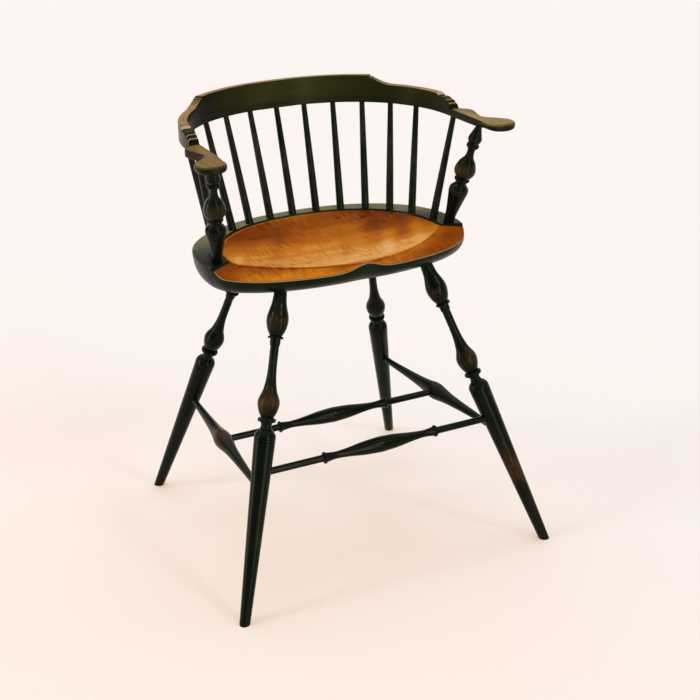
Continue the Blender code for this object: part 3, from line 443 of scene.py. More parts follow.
def extruded(work, edges):
    """Extrudes a chain of edges. Gives its new points, its new edges and the faces between."""
    grown = bmesh.ops.extrude_edge_only(work, edges=edges)["geom"]
    verts = [item for item in grown if isinstance(item, bmesh.types.BMVert)]
    faces = [item for item in grown if isinstance(item, bmesh.types.BMFace)]
    new = set(verts)
    chain = [item for item in grown if isinstance(item, bmesh.types.BMEdge)
             and item.verts[0] in new and item.verts[1] in new]
    return verts, chain, faces


def set_in_place(work, name, finishes, slot, *nodes):
    """Makes a bmesh a piece that rides on the chair and stands for its CAD nodes."""
    sharp_angle = math.radians(42.0)
    bmesh.ops.recalc_face_normals(work, faces=work.faces)
    for face in work.faces:
        face.smooth = True
    for edge in work.edges:
        edge.smooth = edge.calc_face_angle(0.0) < sharp_angle
    mesh = bpy.data.meshes.new(name)
    work.to_mesh(mesh)
    work.free()
    for finish in finishes:
        mesh.materials.append(finish)
    piece = bpy.data.objects.new(name, mesh)
    scene.collection.objects.link(piece)
    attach(piece, "root")
    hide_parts(*nodes)


def amber_maple():
    """Curly maple: grain across the seat, curl stripes from front to back, stain and satin varnish. The
    stain is drawn from a mark that also carries painted shade and painted highlights.
    """
    material, shader, start = new_finish("amber_maple", 0.011, (1.0, 0.78, 0.36))
    place = start.node("ShaderNodeTexCoord", {}, {}, "Object")
    stain_and_painted_shade = start.mark("stain")
    bands = place.cloud((5.0, 26.0, 14.0), 4.0, 0.04)
    grain = place.cloud((30.0, 800.0, 260.0), 3.0, 0.04)
    curl = place.cloud((190.0, 32.0, 40.0), 2.0, -0.10).between(0.36, 0.64)
    curl_patch = place.cloud((10.0, 16.0, 12.0), 2.0).between(0.36, 0.62)
    stripe = (curl - 0.5) * curl_patch
    tone = 0.58 - stain_and_painted_shade * 0.48 + (bands - 0.5) * 0.44 + stripe * 0.16 + (grain - 0.5) * 0.11
    colour = tone.node("ShaderNodeValToRGB", {"stops": [
        (0.0, (0.10, 0.018, 0.0015)), (0.20, (0.21, 0.042, 0.0024)), (0.36, (0.33, 0.078, 0.004)),
        (0.50, (0.47, 0.134, 0.007)), (0.67, (0.58, 0.197, 0.012)), (0.82, (0.735, 0.352, 0.080)),
        (1.0, (0.79, 0.46, 0.16))]}, {0: tone})
    knots = ((0.127, 0.092, 0.0075, 0.75), (0.078, 0.113, 0.006, 0.75), (-0.122, 0.078, 0.009, 0.4))
    for x, y, size, dark in knots:
        near = place.vector("SUBTRACT", (x, y, 0.6)).vector("MULTIPLY", (0.55, 1.0, 0.2))
        away = near.vector("LENGTH", out="Value")
        knot = 1.0 - (away + (grain - 0.5) * size * 0.6).between(size * 0.2, size)
        colour = (knot * dark).tinted(colour, (0.06, 0.014, 0.003))
    colour.into(shader, "Base Color")
    (0.31 + (grain - 0.5) * 0.10 + stripe * 0.10).into(shader, "Roughness")
    (grain * 0.3 + curl * curl_patch * 0.7).carved(shader, 0.0010, 0.12)
    return material


def deck_paint():
    """Green-black paint, drawn grey-olive on the deck as a painted sheen that is lighter towards the back,
    with a thin pale line along the front brim.
    """
    material, shader, start = new_finish("deck_paint", 0.085, (0.94, 1.0, 0.52))
    place = start.node("ShaderNodeTexCoord", {}, {}, "Object")
    rub = start.mark("rub")
    patch = place.cloud((22.0, 22.0, 22.0), 5.0)
    brush = place.cloud((60.0, 420.0, 420.0), 2.0)
    body = patch.between(0.35, 0.75).tinted((0.0038, 0.0062, 0.0026), (0.0105, 0.0160, 0.0060))
    painted_sheen = (rub + (patch - 0.5) * 0.3 + (brush - 0.5) * 0.2).between(0.25, 0.75)
    colour = painted_sheen.tinted(body, (0.180, 0.155, 0.066))
    bare = (rub + (patch - 0.5) * 0.2).between(0.82, 1.0)
    bare.tinted(colour, (0.50, 0.30, 0.15)).into(shader, "Base Color")
    (0.26 + (brush - 0.5) * 0.14 + patch * 0.06).into(shader, "Roughness")
    (brush * 0.6 + patch * 0.4).carved(shader, 0.0006, 0.10)
    return material


plank = bmesh.new()
row_layer = plank.verts.layers.int.new("row")
rub_and_sheen_layer = plank.verts.layers.float.new("rub")
stain_and_shade_layer = plank.verts.layers.float.new("stain")
columns = seat_columns()
edges_round = [edge for _, edge, _ in columns]
for i, (rim, edge, kind) in enumerate(columns):
    ahead = edges_round[min(i + 1, len(columns) - 1)] - edges_round[max(i - 1, 0)]
    normal = Vector((-ahead.y, ahead.x, 0.0)).normalized()
    if i in (0, len(columns) - 1):
        normal = Vector((0.0, 1.0 if i == 0 else -1.0, 0.0))
    points = seat_column(rim, edge, kind, normal)
    if i == 0:
        chain = [plank.verts.new(point[0]) for point in points]
        for row, vert in enumerate(chain):
            vert[row_layer] = row
        chain_edges = [plank.edges.new(pair) for pair in zip(chain, chain[1:])]
        verts, faces = chain, []
    else:
        verts, chain_edges, faces = extruded(plank, chain_edges)
    for vert in verts:
        vert.co, vert[rub_and_sheen_layer], vert[stain_and_shade_layer], _ = points[vert[row_layer]]
    for face in faces:
        row = max(vert[row_layer] for vert in face.verts)
        face.material_index = 1 if points[row][3] or before[row][3] else 0
    before = points
merge_within = 1e-6
for vert in plank.verts:
    if abs(vert.co.x) < merge_within:
        vert.co.x = 0.0
bmesh.ops.mirror(plank, geom=plank.verts[:] + plank.edges[:] + plank.faces[:], axis="X",
                 merge_dist=merge_within)
bmesh.ops.remove_doubles(plank, verts=plank.verts, dist=merge_within)
last_dish_row = dish_rows - 1
ridge_row = last_dish_row + len(gutter_offsets) // 2
last_gutter_row = last_dish_row + len(gutter_offsets)
# The stain mark holds the stain together with painted shade and painted highlights. On the right the painted
# shadow line along the ridge is blended into the dish and the front.
for vert in plank.verts:
    row = vert[row_layer]
    x, y = vert.co.x, vert.co.y
    if row < last_dish_row or (row == last_dish_row and y < horn_y):
        vert[stain_and_shade_layer] = dish_stain_and_shade(x, y)
    elif row <= last_gutter_row:
        ridge = dish_stain_and_shade(x, y) if row <= ridge_row else front_stain_and_shade(x, 0.0)
        vert[stain_and_shade_layer] += (ridge - vert[stain_and_shade_layer]) * smoothstep((x - 0.01) / 0.06)
    elif row <= last_gutter_row + top_rows:
        vert[stain_and_shade_layer] = front_stain_and_shade(x, ((row - last_gutter_row) / top_rows) ** top_spacing)
set_in_place(plank, "saddled_seat", (amber_maple(), deck_paint()), "maple", "seat")


# Legs: four maple turnings, a bulb over a long-necked vase over a plain tapered lower leg with scribed
# lines. Each has a tapered tenon glued up into the seat, and its foot is sawn level with the floor.
leg_places = (("front_left", (-0.152, -0.119), (-0.326, -0.2955)),
              ("front_right", (0.152, -0.119), (0.326, -0.2955)),
              ("rear_left", (-0.135, 0.092), (-0.285, 0.2955)),
              ("rear_right", (0.135, 0.092), (0.285, 0.2955)))
leg_shoulder_at = 0.2675
leg_shoulder_radius = 0.0203
leg_foot_radius = 0.0100
kick_from, kick_at, kick_to = 0.360, 0.440, 0.540
leg_kicks = {"front_left": 0.50, "front_right": 0.90, "rear_left": 0.25, "rear_right": 0.25}
scribe_width = 0.0016
scribe_depth = 0.0008
sole_round = 0.0012
pattern_shift = 3.0


def curve(keys, steps=7):
    """A smooth turned outline through (distance, radius, rub) keys."""
    line = [keys[0]]
    for i in range(len(keys) - 1):
        before = keys[max(i - 1, 0)]
        start, stop = keys[i], keys[i + 1]
        after = keys[min(i + 2, len(keys) - 1)]
        run = stop[0] - start[0]
        slope_in = (stop[1] - before[1]) / (stop[0] - before[0])
        slope_out = (after[1] - start[1]) / (after[0] - start[0])
        if (stop[1] - start[1]) * (start[1] - before[1]) <= 0.0 and i > 0:
            slope_in = 0.0
        if (after[1] - stop[1]) * (stop[1] - start[1]) <= 0.0 and i < len(keys) - 2:
            slope_out = 0.0
        for k in range(1, steps + 1):
            t = k / steps
            radius = ((2 * t ** 3 - 3 * t ** 2 + 1) * start[1] + (t ** 3 - 2 * t ** 2 + t) * run * slope_in
                      + (3 * t ** 2 - 2 * t ** 3) * stop[1] + (t ** 3 - t ** 2) * run * slope_out)
            line.append((start[0] + t * run, radius, start[2] + (stop[2] - start[2]) * t))
    return line


def bead(at, half, rim, waist, rub):
    """A turned bead: up from the waist, round over the rim and down again."""
    steps = 8
    line = [(at - half, waist, 0.0)]
    for i in range(steps + 1):
        turn = math.pi * (i / steps - 0.5)
        line.append((at + half * math.sin(turn), rim - half * 0.8 * (1.0 - math.cos(turn)), rub))
    return line + [(at + half, waist, 0.0)]


def scribed(start, stop, marks):
    """A straight taper from one key to another with fine lines cut round it."""
    line = [start]
    for at in marks:
        for off, sunk in ((-0.5, 0.0), (-0.25, 1.0), (0.25, 1.0), (0.5, 0.0)):
            place = at + off * scribe_width
            share = (place - start[0]) / (stop[0] - start[0])
            radius = start[1] + (stop[1] - start[1]) * share - sunk * scribe_depth
            line.append((place, radius, (start[2] + (stop[2] - start[2]) * share) * (1.0 - sunk)))
    return line + [stop]


def turned(name, line, sides, origin, toward, finish, level=False, wear=1.0):
    """Spins an outline round its axis, laid from an origin towards a point, and marks its wear."""
    work = bmesh.new()
    rub = work.verts.layers.float.new("rub")
    lathe = work.verts.layers.float_vector.new("lathe")
    line = [(line[0][0], 0.0, 0.0)] + line + [(line[-1][0], 0.0, 0.0)]
    chain = []
    for at, radius, worn in line:
        vert = work.verts.new((radius, 0.0, at))
        vert[rub] = worn * wear
        chain.append(vert)
    rim = [work.edges.new(pair) for pair in zip(chain, chain[1:])]
    bmesh.ops.spin(work, geom=chain + rim, cent=(0.0, 0.0, 0.0), axis=(0.0, 0.0, 1.0),
                   angle=math.tau, steps=sides, use_merge=True)
    bmesh.ops.remove_doubles(work, verts=work.verts, dist=merge_within)
    for vert in work.verts:
        vert[lathe] = vert.co + origin * pattern_shift
    turn = (toward - origin).to_track_quat("Z", "Y").to_matrix().to_4x4()
    bmesh.ops.transform(work, matrix=Matrix.Translation(origin) @ turn, verts=work.verts)
    if level:
        cut = bmesh.ops.bisect_plane(
            work, geom=work.verts[:] + work.edges[:] + work.faces[:], dist=1e-7, plane_co=(0.0, 0.0, 0.0),
            plane_no=(0.0, 0.0, -1.0), clear_outer=True)
        rim = [item for item in cut["geom_cut"] if isinstance(item, bmesh.types.BMEdge)]
        sole = bmesh.ops.edgeloop_fill(work, edges=rim)["faces"]
        bmesh.ops.bevel(work, geom=sole[0].edges[:], offset=sole_round, segments=2, profile=0.5,
                        affect="EDGES", material=-1)
    set_in_place(work, name, (finish,), "paint", name.replace("turned_", ""))


def rubbed_paint(name, low, high):
    """Black-green paint over a brown-red ground, rubbed through where hands, boots and cloths polish it."""
    material, shader, start = new_finish(name, 0.085, (0.93, 1.0, 0.66))
    place = start.mark("lathe", "Vector")
    rub = start.mark("rub")
    patch = place.cloud((30.0, 30.0, 12.0), 4.0)
    fleck = place.cloud((260.0, 260.0, 50.0), 3.0)
    brush = place.cloud((700.0, 700.0, 45.0), 2.0)
    body = patch.between(0.40, 0.70).tinted((0.0032, 0.0054, 0.0036), (0.0078, 0.0115, 0.0070))
    ground = fleck.between(0.35, 0.70).tinted(low, high)
    worn = (rub + (patch - 0.5) * 0.9 + (fleck - 0.5) * 0.2).between(0.45, 1.15)
    worn.tinted(body, ground).into(shader, "Base Color")
    (0.19 + (brush - 0.5) * 0.12 + worn * 0.08).into(shader, "Roughness")
    (brush * 0.6 + patch * 0.4).carved(shader, 0.0005, 0.06)
    return material


turning_paint = rubbed_paint("turning_paint", (0.046, 0.018, 0.0060), (0.125, 0.045, 0.0120))
for leg_name, (top_x, top_y), (foot_x, foot_y) in leg_places:
    leg_top = Vector((top_x, top_y, seat_under_z))
    leg_foot = Vector((foot_x, foot_y, 0.0))
    leg_length = (leg_foot - leg_top).length
    outline = [(-0.022, 0.0095, 0.0)]
    outline += curve([(0.0, 0.0118, 0.1), (0.0218, 0.0139, 0.2), (0.0520, 0.0205, 0.75),
                      (0.0699, 0.0172, 0.55), (0.0823, 0.0111, 0.1)])
    outline += bead(0.0848, 0.0024, 0.0146, 0.0105, 0.25)
    outline += [(0.0873, 0.0099, 0.0), (0.0975, 0.0096, 0.1), (0.0985, 0.0092, 0.1)]
    outline += curve([(0.1008, 0.0081, 0.0), (0.1517, 0.0086, 0.2), (0.1805, 0.0127, 0.5),
                      (0.2045, 0.0205, 0.85), (0.2205, 0.0174, 0.6), (0.2321, 0.0116, 0.1)])
    outline += bead(0.2366, 0.0044, 0.0171, 0.0116, 0.4)
    outline += curve([(0.2411, 0.0112, 0.0), (0.2470, 0.0098, 0.0), (0.2535, 0.0114, 0.1)], 4)
    outline += curve([(0.2540, 0.0122, 0.1), (0.2564, 0.0151, 0.4), (0.2610, 0.0184, 0.5),
                      (0.2645, 0.0198, 0.5), (leg_shoulder_at, 0.02025, 0.5)], 4)
    taper = (leg_shoulder_radius - leg_foot_radius) / (leg_length - leg_shoulder_at)
    from_radius, kick_radius, to_radius = [
        leg_shoulder_radius - taper * (at - leg_shoulder_at) for at in (kick_from, kick_at, kick_to)]
    outline += scribed((leg_shoulder_at + 0.001, leg_shoulder_radius, 0.30), (kick_from, from_radius, 0.20),
                       (0.2720, 0.2780, 0.3350))
    outline += [(kick_at, kick_radius, leg_kicks[leg_name]), (kick_to, to_radius, 0.15),
                (leg_length, leg_foot_radius, 0.15), (leg_length + 0.02, leg_foot_radius, 0.0)]
    turned("turned_leg_" + leg_name, outline, sides=48, origin=leg_top, toward=leg_foot,
           finish=turning_paint, level=True, wear=1.0 if leg_name.startswith("front") else 0.6)


# Side stretchers: painted maple, turned thick in the middle, where the medial stretcher is let in, and
# drawn down to tenons that are driven into the front and rear legs.
side_stretcher_drop = 0.096


def leg_joint(front, side, drop):
    """The point on a leg's axis that a stretcher enters at, a drop below the leg's shoulder."""
    _, (top_x, top_y), (foot_x, foot_y) = leg_places[0 if front else 2]
    top = Vector((-top_x * side, top_y, seat_under_z))
    foot = Vector((-foot_x * side, foot_y, 0.0))
    return top + (foot - top).normalized() * (leg_shoulder_at + drop)


side_middles = []
for side, side_name, side_wear in ((-1, "left", 0.75), (1, "right", 0.45)):
    front_end, rear_end = [leg_joint(front, side, side_stretcher_drop) for front in (True, False)]
    middle = (front_end + rear_end) / 2
    side_middles.append(middle)
    half = (rear_end - front_end).length / 2
    taper = [(0.035, 0.01755, 0.95), (0.10, 0.0155, 0.8), (0.21, 0.0124, 0.5), (0.40, 0.0097, 0.3),
             (0.62, 0.0077, 0.2), (0.80, 0.0066, 0.1), (1.0, 0.0066, 0.0)]
    keys = [(-share * half, radius, worn) for share, radius, worn in reversed(taper)]
    keys += [(0.0, 0.0178, 1.0)] + [(share * half, radius, worn) for share, radius, worn in taper]
    turned("turned_side_stretcher_" + side_name, curve(keys, 5), sides=40, origin=middle, toward=rear_end,
           finish=turning_paint, wear=side_wear)


# Medial and front stretchers: painted maple turnings, plain rods at the ends, then a ring, and a long
# swelling between the two rings. The medial one is let into the side stretchers, the front one into the
# front legs.
cross_ring_at = 0.118
front_stretcher_drop = 0.0675
cross_places = (("medial_stretcher", 0.55, *side_middles),
                ("front_stretcher", 0.8, *[leg_joint(True, side, front_stretcher_drop) for side in (-1, 1)]))
for name, cross_wear, left_end, right_end in cross_places:
    middle = (left_end + right_end) / 2
    half = (right_end - left_end).length / 2
    swelling = [(0.0, 0.0154, 0.75), (0.0338, 0.01325, 0.6), (0.0677, 0.0089, 0.3), (0.0940, 0.0070, 0.1),
                (0.1162, 0.0094, 0.3)]
    right_side = curve(swelling, 6) + bead(cross_ring_at, 0.0022, 0.0115, 0.0094, 0.5)
    right_side += [(cross_ring_at + 0.0024, 0.0069, 0.1), (half, 0.0066, 0.2)]
    left_side = [(-at, radius, worn) for at, radius, worn in reversed(right_side[1:])]
    turned("turned_" + name, left_side + right_side, sides=40, origin=middle, toward=right_end,
           finish=turning_paint, wear=cross_wear)


# Arm posts: painted maple turnings, an urn on a tapered foot, a ring, a vase with a thin neck, a collar and
# a small bulb. A tapered tenon goes down into the deck and a round one up into the arm.
arm_under_z = 0.816
post_foot_x, post_foot_y = 0.244, -0.045
post_top_x, post_top_y = 0.269, -0.116
post_bulb_at = 0.1895
post_paint = rubbed_paint("post_paint", (0.036, 0.020, 0.0075), (0.085, 0.048, 0.0150))
for side, side_name, post_wear in ((-1, "left", 1.0), (1, "right", 1.2)):
    post_foot = Vector((post_foot_x * side, post_foot_y, deck_z))
    post_top = Vector((post_top_x * side, post_top_y, arm_under_z))
    post_length = (post_top - post_foot).length
    outline = [(-0.020, 0.0080, 0.0)]
    outline += curve([(0.0, 0.0100, 0.0), (0.0228, 0.0112, 0.0), (0.0654, 0.01795, 0.15)], 6)
    outline += [(0.0658, 0.0172, 0.0), (0.0668, 0.0172, 0.0)]
    outline += curve([(0.0672, 0.0184, 0.4), (0.0710, 0.0191, 0.5), (0.0800, 0.0184, 0.5),
                      (0.0850, 0.0145, 0.3), (0.0905, 0.0108, 0.0)], 5)
    outline += curve([(0.0910, 0.0107, 0.0), (0.0955, 0.0108, 0.0), (0.0972, 0.0120, 0.0)], 3)
    outline += bead(0.1002, 0.0031, 0.0152, 0.0118, 0.3)
    outline += curve([(0.1034, 0.0139, 0.1), (0.1062, 0.0146, 0.2), (0.1124, 0.0189, 0.6),
                      (0.1200, 0.0208, 0.85), (0.1372, 0.0162, 0.6), (0.1487, 0.0092, 0.2),
                      (0.1610, 0.0069, 0.0)], 6)
    outline += curve([(0.1612, 0.0069, 0.0), (0.1675, 0.0080, 0.0), (0.1706, 0.0098, 0.1)], 3)
    outline += bead(0.1748, 0.0040, 0.0124, 0.0098, 0.3)
    entry = post_length - 0.0057
    outline += curve([(0.1796, 0.0098, 0.1), (post_bulb_at, 0.0133, 0.5),
                      (post_bulb_at + (entry - post_bulb_at) * 0.45, 0.0104, 0.3), (entry, 0.0063, 0.1)], 6)
    outline += [(post_length + 0.0105, 0.0063, 0.0)]
    turned("turned_arm_post_" + side_name, outline, sides=44, origin=post_foot, toward=post_top,
           finish=post_paint, wear=post_wear)


# Spindles: thirteen slim tapered rods of painted maple. Their feet are driven into the deck; all but the
# front one on each side go up through the arms into the crest.
front_spindle = 6
front_spindle_seat_at, front_spindle_rail_at = 0.3160, 0.4035
spindle_seat_gap, spindle_rail_gap = 0.0510, 0.0580
spindle_outset = 0.0066
through_tenon, blind_tenon = 0.018, 0.009


class Path:
    """A plan curve from the middle of the back round to one side, walked by length."""

    def __init__(self, half_width, reach, widest_y, straight):
        count = 720
        self.points = [oval(half_width, reach, widest_y, back_power, math.pi / 2 * (1 - i / count))
                       for i in range(count + 1)]
        self.points.append(Vector((half_width, widest_y - straight, 0.0)))
        self.lengths = [0.0]
        for near, far in zip(self.points, self.points[1:]):
            self.lengths.append(self.lengths[-1] + (far - near).length)
        self.corner = self.lengths[count]

    def plain(self, walked):
        walked = min(max(walked, 0.0), self.lengths[-1])
        i = next(k for k in range(1, len(self.lengths)) if self.lengths[k] >= walked - 1e-9)
        span = self.lengths[i] - self.lengths[i - 1]
        return self.points[i - 1].lerp(self.points[i], (walked - self.lengths[i - 1]) / span)

    def at(self, length, outward=0.0):
        """The point a length along the path, set off outwards. A negative length is on the left."""
        side = -1.0 if length < 0.0 else 1.0
        walked = abs(length)
        step = 0.004
        ahead = (self.plain(walked + step) - self.plain(walked - step)).normalized()
        if walked < step:
            ahead = Vector((1.0, ahead.y * walked / step, 0.0)).normalized()
        point = self.plain(walked) + Vector((-ahead.y, ahead.x, 0.0)) * outward
        return Vector((point.x * side, point.y, 0.0))


spindle_paint = rubbed_paint("spindle_paint", (0.016, 0.0140, 0.0120), (0.042, 0.036, 0.030))
rail = Path(half_width=0.257, reach=0.236, widest_y=-0.020, straight=0.162)
spindle_line = Path(half_width=0.2306, reach=0.2006, widest_y=-0.040, straight=0.154)
for index in range(-front_spindle, front_spindle + 1):
    side = -1 if index < 0 else 1
    seat_at, rail_at, tenon = abs(index) * spindle_seat_gap, abs(index) * spindle_rail_gap, through_tenon
    if abs(index) == front_spindle:
        seat_at, rail_at, tenon = front_spindle_seat_at, front_spindle_rail_at, blind_tenon
    foot = spindle_line.at(seat_at * side) + Vector((0.0, 0.0, deck_z))
    top = rail.at(rail_at * side, spindle_outset) + Vector((0.0, 0.0, arm_under_z))
    length = (top - foot).length
    tall = length * (1.0 + tenon / (top.z - foot.z))
    outline = [(-0.015, 0.0067, 0.0), (-0.001, 0.0067, 0.0)]
    outline += curve([(-0.0005, 0.0078, 0.7), (length * 0.25, 0.0074, 0.8), (length * 0.6, 0.0065, 0.8),
                      (length - 0.0005, 0.0053, 0.7)], 6)
    outline += [(length, 0.0046, 0.0), (tall, 0.0046, 0.0)]
    turned("turned_spindle_%02d" % (index + front_spindle + 1), outline, sides=24, origin=foot, toward=top,
           finish=spindle_paint)


# Arms: two pieces sawn from plank to the curve of the back and painted, half-lapped to each other behind
# the sitter. In front each swells, narrows over its post and opens into a flat hand with rounded,
# undercut edges.
arm_top_z = 0.830
hollow_at = 0.084
hand_at = 0.134
hand_end = 0.028
hand_width = 0.055
hand_inset = 0.003
hand_swell = 0.050
lap_half = 0.035
lap_gap = 0.0002
lap_steps, back_steps, side_steps, hand_steps = 14, 70, 60, 16
open_from, open_run = 0.396, 0.012


def eased(keys, at):
    """Value at a distance, easing from each (distance, value) key to the next."""
    for (start, low), (stop, high) in zip(keys, keys[1:]):
        if at <= stop:
            return low + (high - low) * smoothstep((at - start) / (stop - start))
    return keys[-1][1]


def arm_span(at):
    """Inner and outer edge of an arm, as offsets from the rail's inner face."""
    forward = at - rail.corner
    if forward <= hand_at:
        widths = [(0.0, 0.0185), (0.028, 0.036), (hollow_at, 0.024), (hand_at, hand_inset + hand_width)]
        inner = eased([(hollow_at, 0.0), (hand_at, hand_inset)], forward)
        return inner, eased(widths, max(forward, 0.0))
    rounded = min((forward - hand_at) / hand_end, 1.0)
    reach = hand_width / 2 * max(1.0 - rounded ** 3.0, 0.0) ** (1.0 / 3.0)
    reach = max(reach, 0.003)
    return hand_inset + hand_width / 2 - reach, hand_inset + hand_width / 2 + reach


def rounded_section(inner, outer, low, high, rounds):
    """A closed section of (offset, height) points from its low inner corner, all four corners rounded and
    its top set with points to carry the wear."""
    corner_steps, top_steps = 5, 7
    section = []
    corners = ((inner, low, 1, 1, 180.0), (outer, low, -1, 1, 270.0), (outer, high, -1, -1, 0.0),
               (inner, high, 1, -1, 90.0))
    for (off, z, across, rise, first), radius in zip(corners, rounds):
        radius = min(radius, (outer - inner) * 0.45, (high - low) * 0.48)
        if first == 90.0:
            start, stop = section[-1][0], off + radius
            section += [(start + (stop - start) * k / top_steps, high) for k in range(1, top_steps)]
        for i in range(corner_steps + 1):
            turn = math.radians(first + 90.0 * i / corner_steps)
            section.append((off + across * radius + math.cos(turn) * radius,
                            z + rise * radius + math.sin(turn) * radius))
    return section


def along_rail(sections):
    """Extrudes a closed section through stations along the rail. Marks lengths and wear on its points, the
    wear also carrying painted highlights.
    """
    work = bmesh.new()
    number = work.verts.layers.int.new("number")
    rub = work.verts.layers.float.new("rub")
    ruddy = work.verts.layers.float.new("ruddy")
    laid = work.verts.layers.float_vector.new("laid")
    ring = []
    for at, points, wear in sections:
        placed = [rail.at(at, off) + Vector((0.0, 0.0, z)) for off, z in points]
        if not ring:
            verts = [work.verts.new(point) for point in placed]
            for i, vert in enumerate(verts):
                vert[number] = i
            ring = work.faces.new(verts).edges[:]
        else:
            verts, ring, _ = extruded(work, ring)
        for vert in verts:
            i = vert[number]
            vert.co = placed[i]
            vert[rub], vert[ruddy] = wear[i]
            vert[laid] = (at, points[i][0], points[i][1])
    bmesh.ops.edgeloop_fill(work, edges=ring)
    return work


def sawn_paint(name, low, high, tan, patch_colour):
    """Green-black paint on sawn wood, worn to olive and tan on top with streaks along the grain, its body
    drawn darker to the left and somewhat to the right as painted shade, its palest colour a painted
    highlight.
    """
    material, shader, start = new_finish(name, 0.07, (0.94, 1.0, 0.52))
    place = start.mark("laid", "Vector")
    rub = start.mark("rub")
    ruddy = start.mark("ruddy")
    patch = place.cloud((18.0, 50.0, 50.0), 4.0)
    on_top = start.node("ShaderNodeSeparateXYZ", {}, {0: place}, "Z").between(0.8275, 0.8295)
    streak = 0.5 + (place.cloud((14.0, 480.0, 480.0), 3.0) - 0.5) * (0.2 + on_top * 0.8)
    fleck = place.cloud((120.0, 700.0, 700.0), 2.0)
    length = start.node("ShaderNodeSeparateXYZ", {}, {0: place}, "X")
    # Painted shade: the body is drawn darker to the left and somewhat darker to the right along the rail.
    shade_along = (0.1 + length.between(-0.19, -0.04) * 0.9) * (1.0 - length.between(0.08, 0.20) * 0.45)
    body = ((0.22 + patch * 0.42) * shade_along).tinted(low, high)
    body = (ruddy + (patch - 0.5) * 0.5).between(0.35, 0.9).tinted(body, (0.034, 0.015, 0.009))
    worn = (rub + (patch - 0.5) * 0.25 + (streak - 0.5) * 0.30).between(0.40, 0.85)
    bare = streak.between(0.32, 0.64).tinted((0.115, 0.072, 0.021), tan)
    bare = (patch.between(0.50, 0.64) * 0.7).tinted(bare, patch_colour)
    # The palest colour, where the rub passes 1.05 on the reed tops and the bead at the lobe's end, is a
    # painted highlight.
    painted_glint = rub.between(1.05, 1.25).tinted(bare, (0.42, 0.34, 0.23))
    worn.tinted(body, painted_glint).into(shader, "Base Color")
    (0.27 + (streak - 0.5) * 0.14 + (fleck - 0.5) * 0.08 + worn * 0.10).into(shader, "Roughness")
    (streak * 0.7 + fleck * 0.3).carved(shader, 0.0006, 0.12)
    return material


def spaced(start, stop, count):
    return [start + (stop - start) * i / count for i in range(count + 1)]


arm_green, arm_olive = (0.0085, 0.0095, 0.0045), (0.0360, 0.0365, 0.0110)
arm_tans = {"left": ((0.250, 0.148, 0.028), (0.185, 0.098, 0.020)),
            "right": ((0.33, 0.215, 0.066), (0.26, 0.145, 0.040))}
for side, side_name, arm_wear in ((-1, "left", 0.88), (1, "right", 1.0)):
    middle_z = (arm_under_z + arm_top_z) / 2 + side * lap_gap
    stations = [(at, True) for at in spaced(-lap_half, lap_half, lap_steps)]
    stations += [(at, False) for at in spaced(lap_half, rail.corner, back_steps)]
    stations += [(at, False) for at in spaced(rail.corner, rail.corner + hand_at, side_steps)[1:]]
    stations += [(rail.corner + hand_at + hand_end * math.sin(math.pi / 2 * i / hand_steps), False)
                 for i in range(1, hand_steps + 1)]
    sections = []
    for at, lapped in stations:
        inner, outer = arm_span(max(at, 0.0))
        to_hand = smoothstep((at - rail.corner - hollow_at) / hand_swell)
        open_top = smoothstep((at - open_from) / open_run)
        edge_worn = 0.42 + 0.38 * to_hand
        browned = 0.75 * smoothstep((at - 0.28) / 0.06) * (1.0 - to_hand)
        low, high = arm_under_z, arm_top_z
        under_round = 0.0022 + 0.005 * to_hand
        top_round = 0.0003 + 0.0019 * open_top + 0.0016 * to_hand
        rounds = (under_round, under_round, top_round, top_round)
        if lapped:
            low, high = (middle_z, high) if side > 0 else (low, middle_z)
            rounds = (0.0004, 0.0004, 0.0003, 0.0003)
        points = rounded_section(inner, outer, low, high, rounds)
        wear = []
        for off, z in points:
            inside = smoothstep(min(off - inner, outer - off) / 0.007)
            on_top = smoothstep((z - high + 0.0028) / 0.0024)
            down_side = smoothstep((high - z - 0.002) / 0.010)
            on_back = smoothstep((off - outer + 0.003) / 0.002) if z < high - 0.0005 else 0.0
            worn = (edge_worn + (1.0 - edge_worn) * inside) * on_top * open_top
            # Down the hand's rounded edges the rub draws olive and gold, partly wear and partly a painted
            # highlight.
            worn = max(worn, 0.66 * to_hand * (1.0 - down_side))
            wear.append((worn * arm_wear, browned * on_back))
        sections.append((at * side, points, wear))
    arm_paint = sawn_paint(side_name + "_arm_paint", arm_green, arm_olive, *arm_tans[side_name])
    set_in_place(along_rail(sections), "sawn_arm_" + side_name, (arm_paint,), "paint", "arm_" + side_name)


# Crest: sawn to the curve, painted, and set on the arms over their lap. Its top is level behind the
# sitter, then comes a small step, a hollow fall to a long shoulder, and an end block cut with three reeds.
crest_end = 0.398
crest_level = 0.041
crest_bed = 0.0002
fall_at, fall_run, fall_depth = 0.196, 0.040, 0.0122
shoulder_at, shoulder_run, shoulder_height, shoulder_dip = 0.236, 0.122, 0.0235, 0.0008
block_at, block_foot, block_height, block_count = 0.3594, 0.003, 0.015, 96
reed_grooves = (0.0, 0.351, 0.624, 0.929, 1.0)
# Rub on the top of each reed; where it reaches 1.3 it draws a painted highlight line.
reed_highlights = (0.15, 1.3, 1.3, 0.0)
reed_relief = 0.0026


def crest_height(at):
    """Height of the crest over the arms at a length along the rail, from its step to its end block."""
    fallen = (at - fall_at) / fall_run
    if fallen <= 1.0:
        return shoulder_height + fall_depth * (1.0 - fallen) ** 1.8
    along = (at - shoulder_at) / shoulder_run
    return shoulder_height - shoulder_dip * smoothstep((along - 0.80) / 0.12)


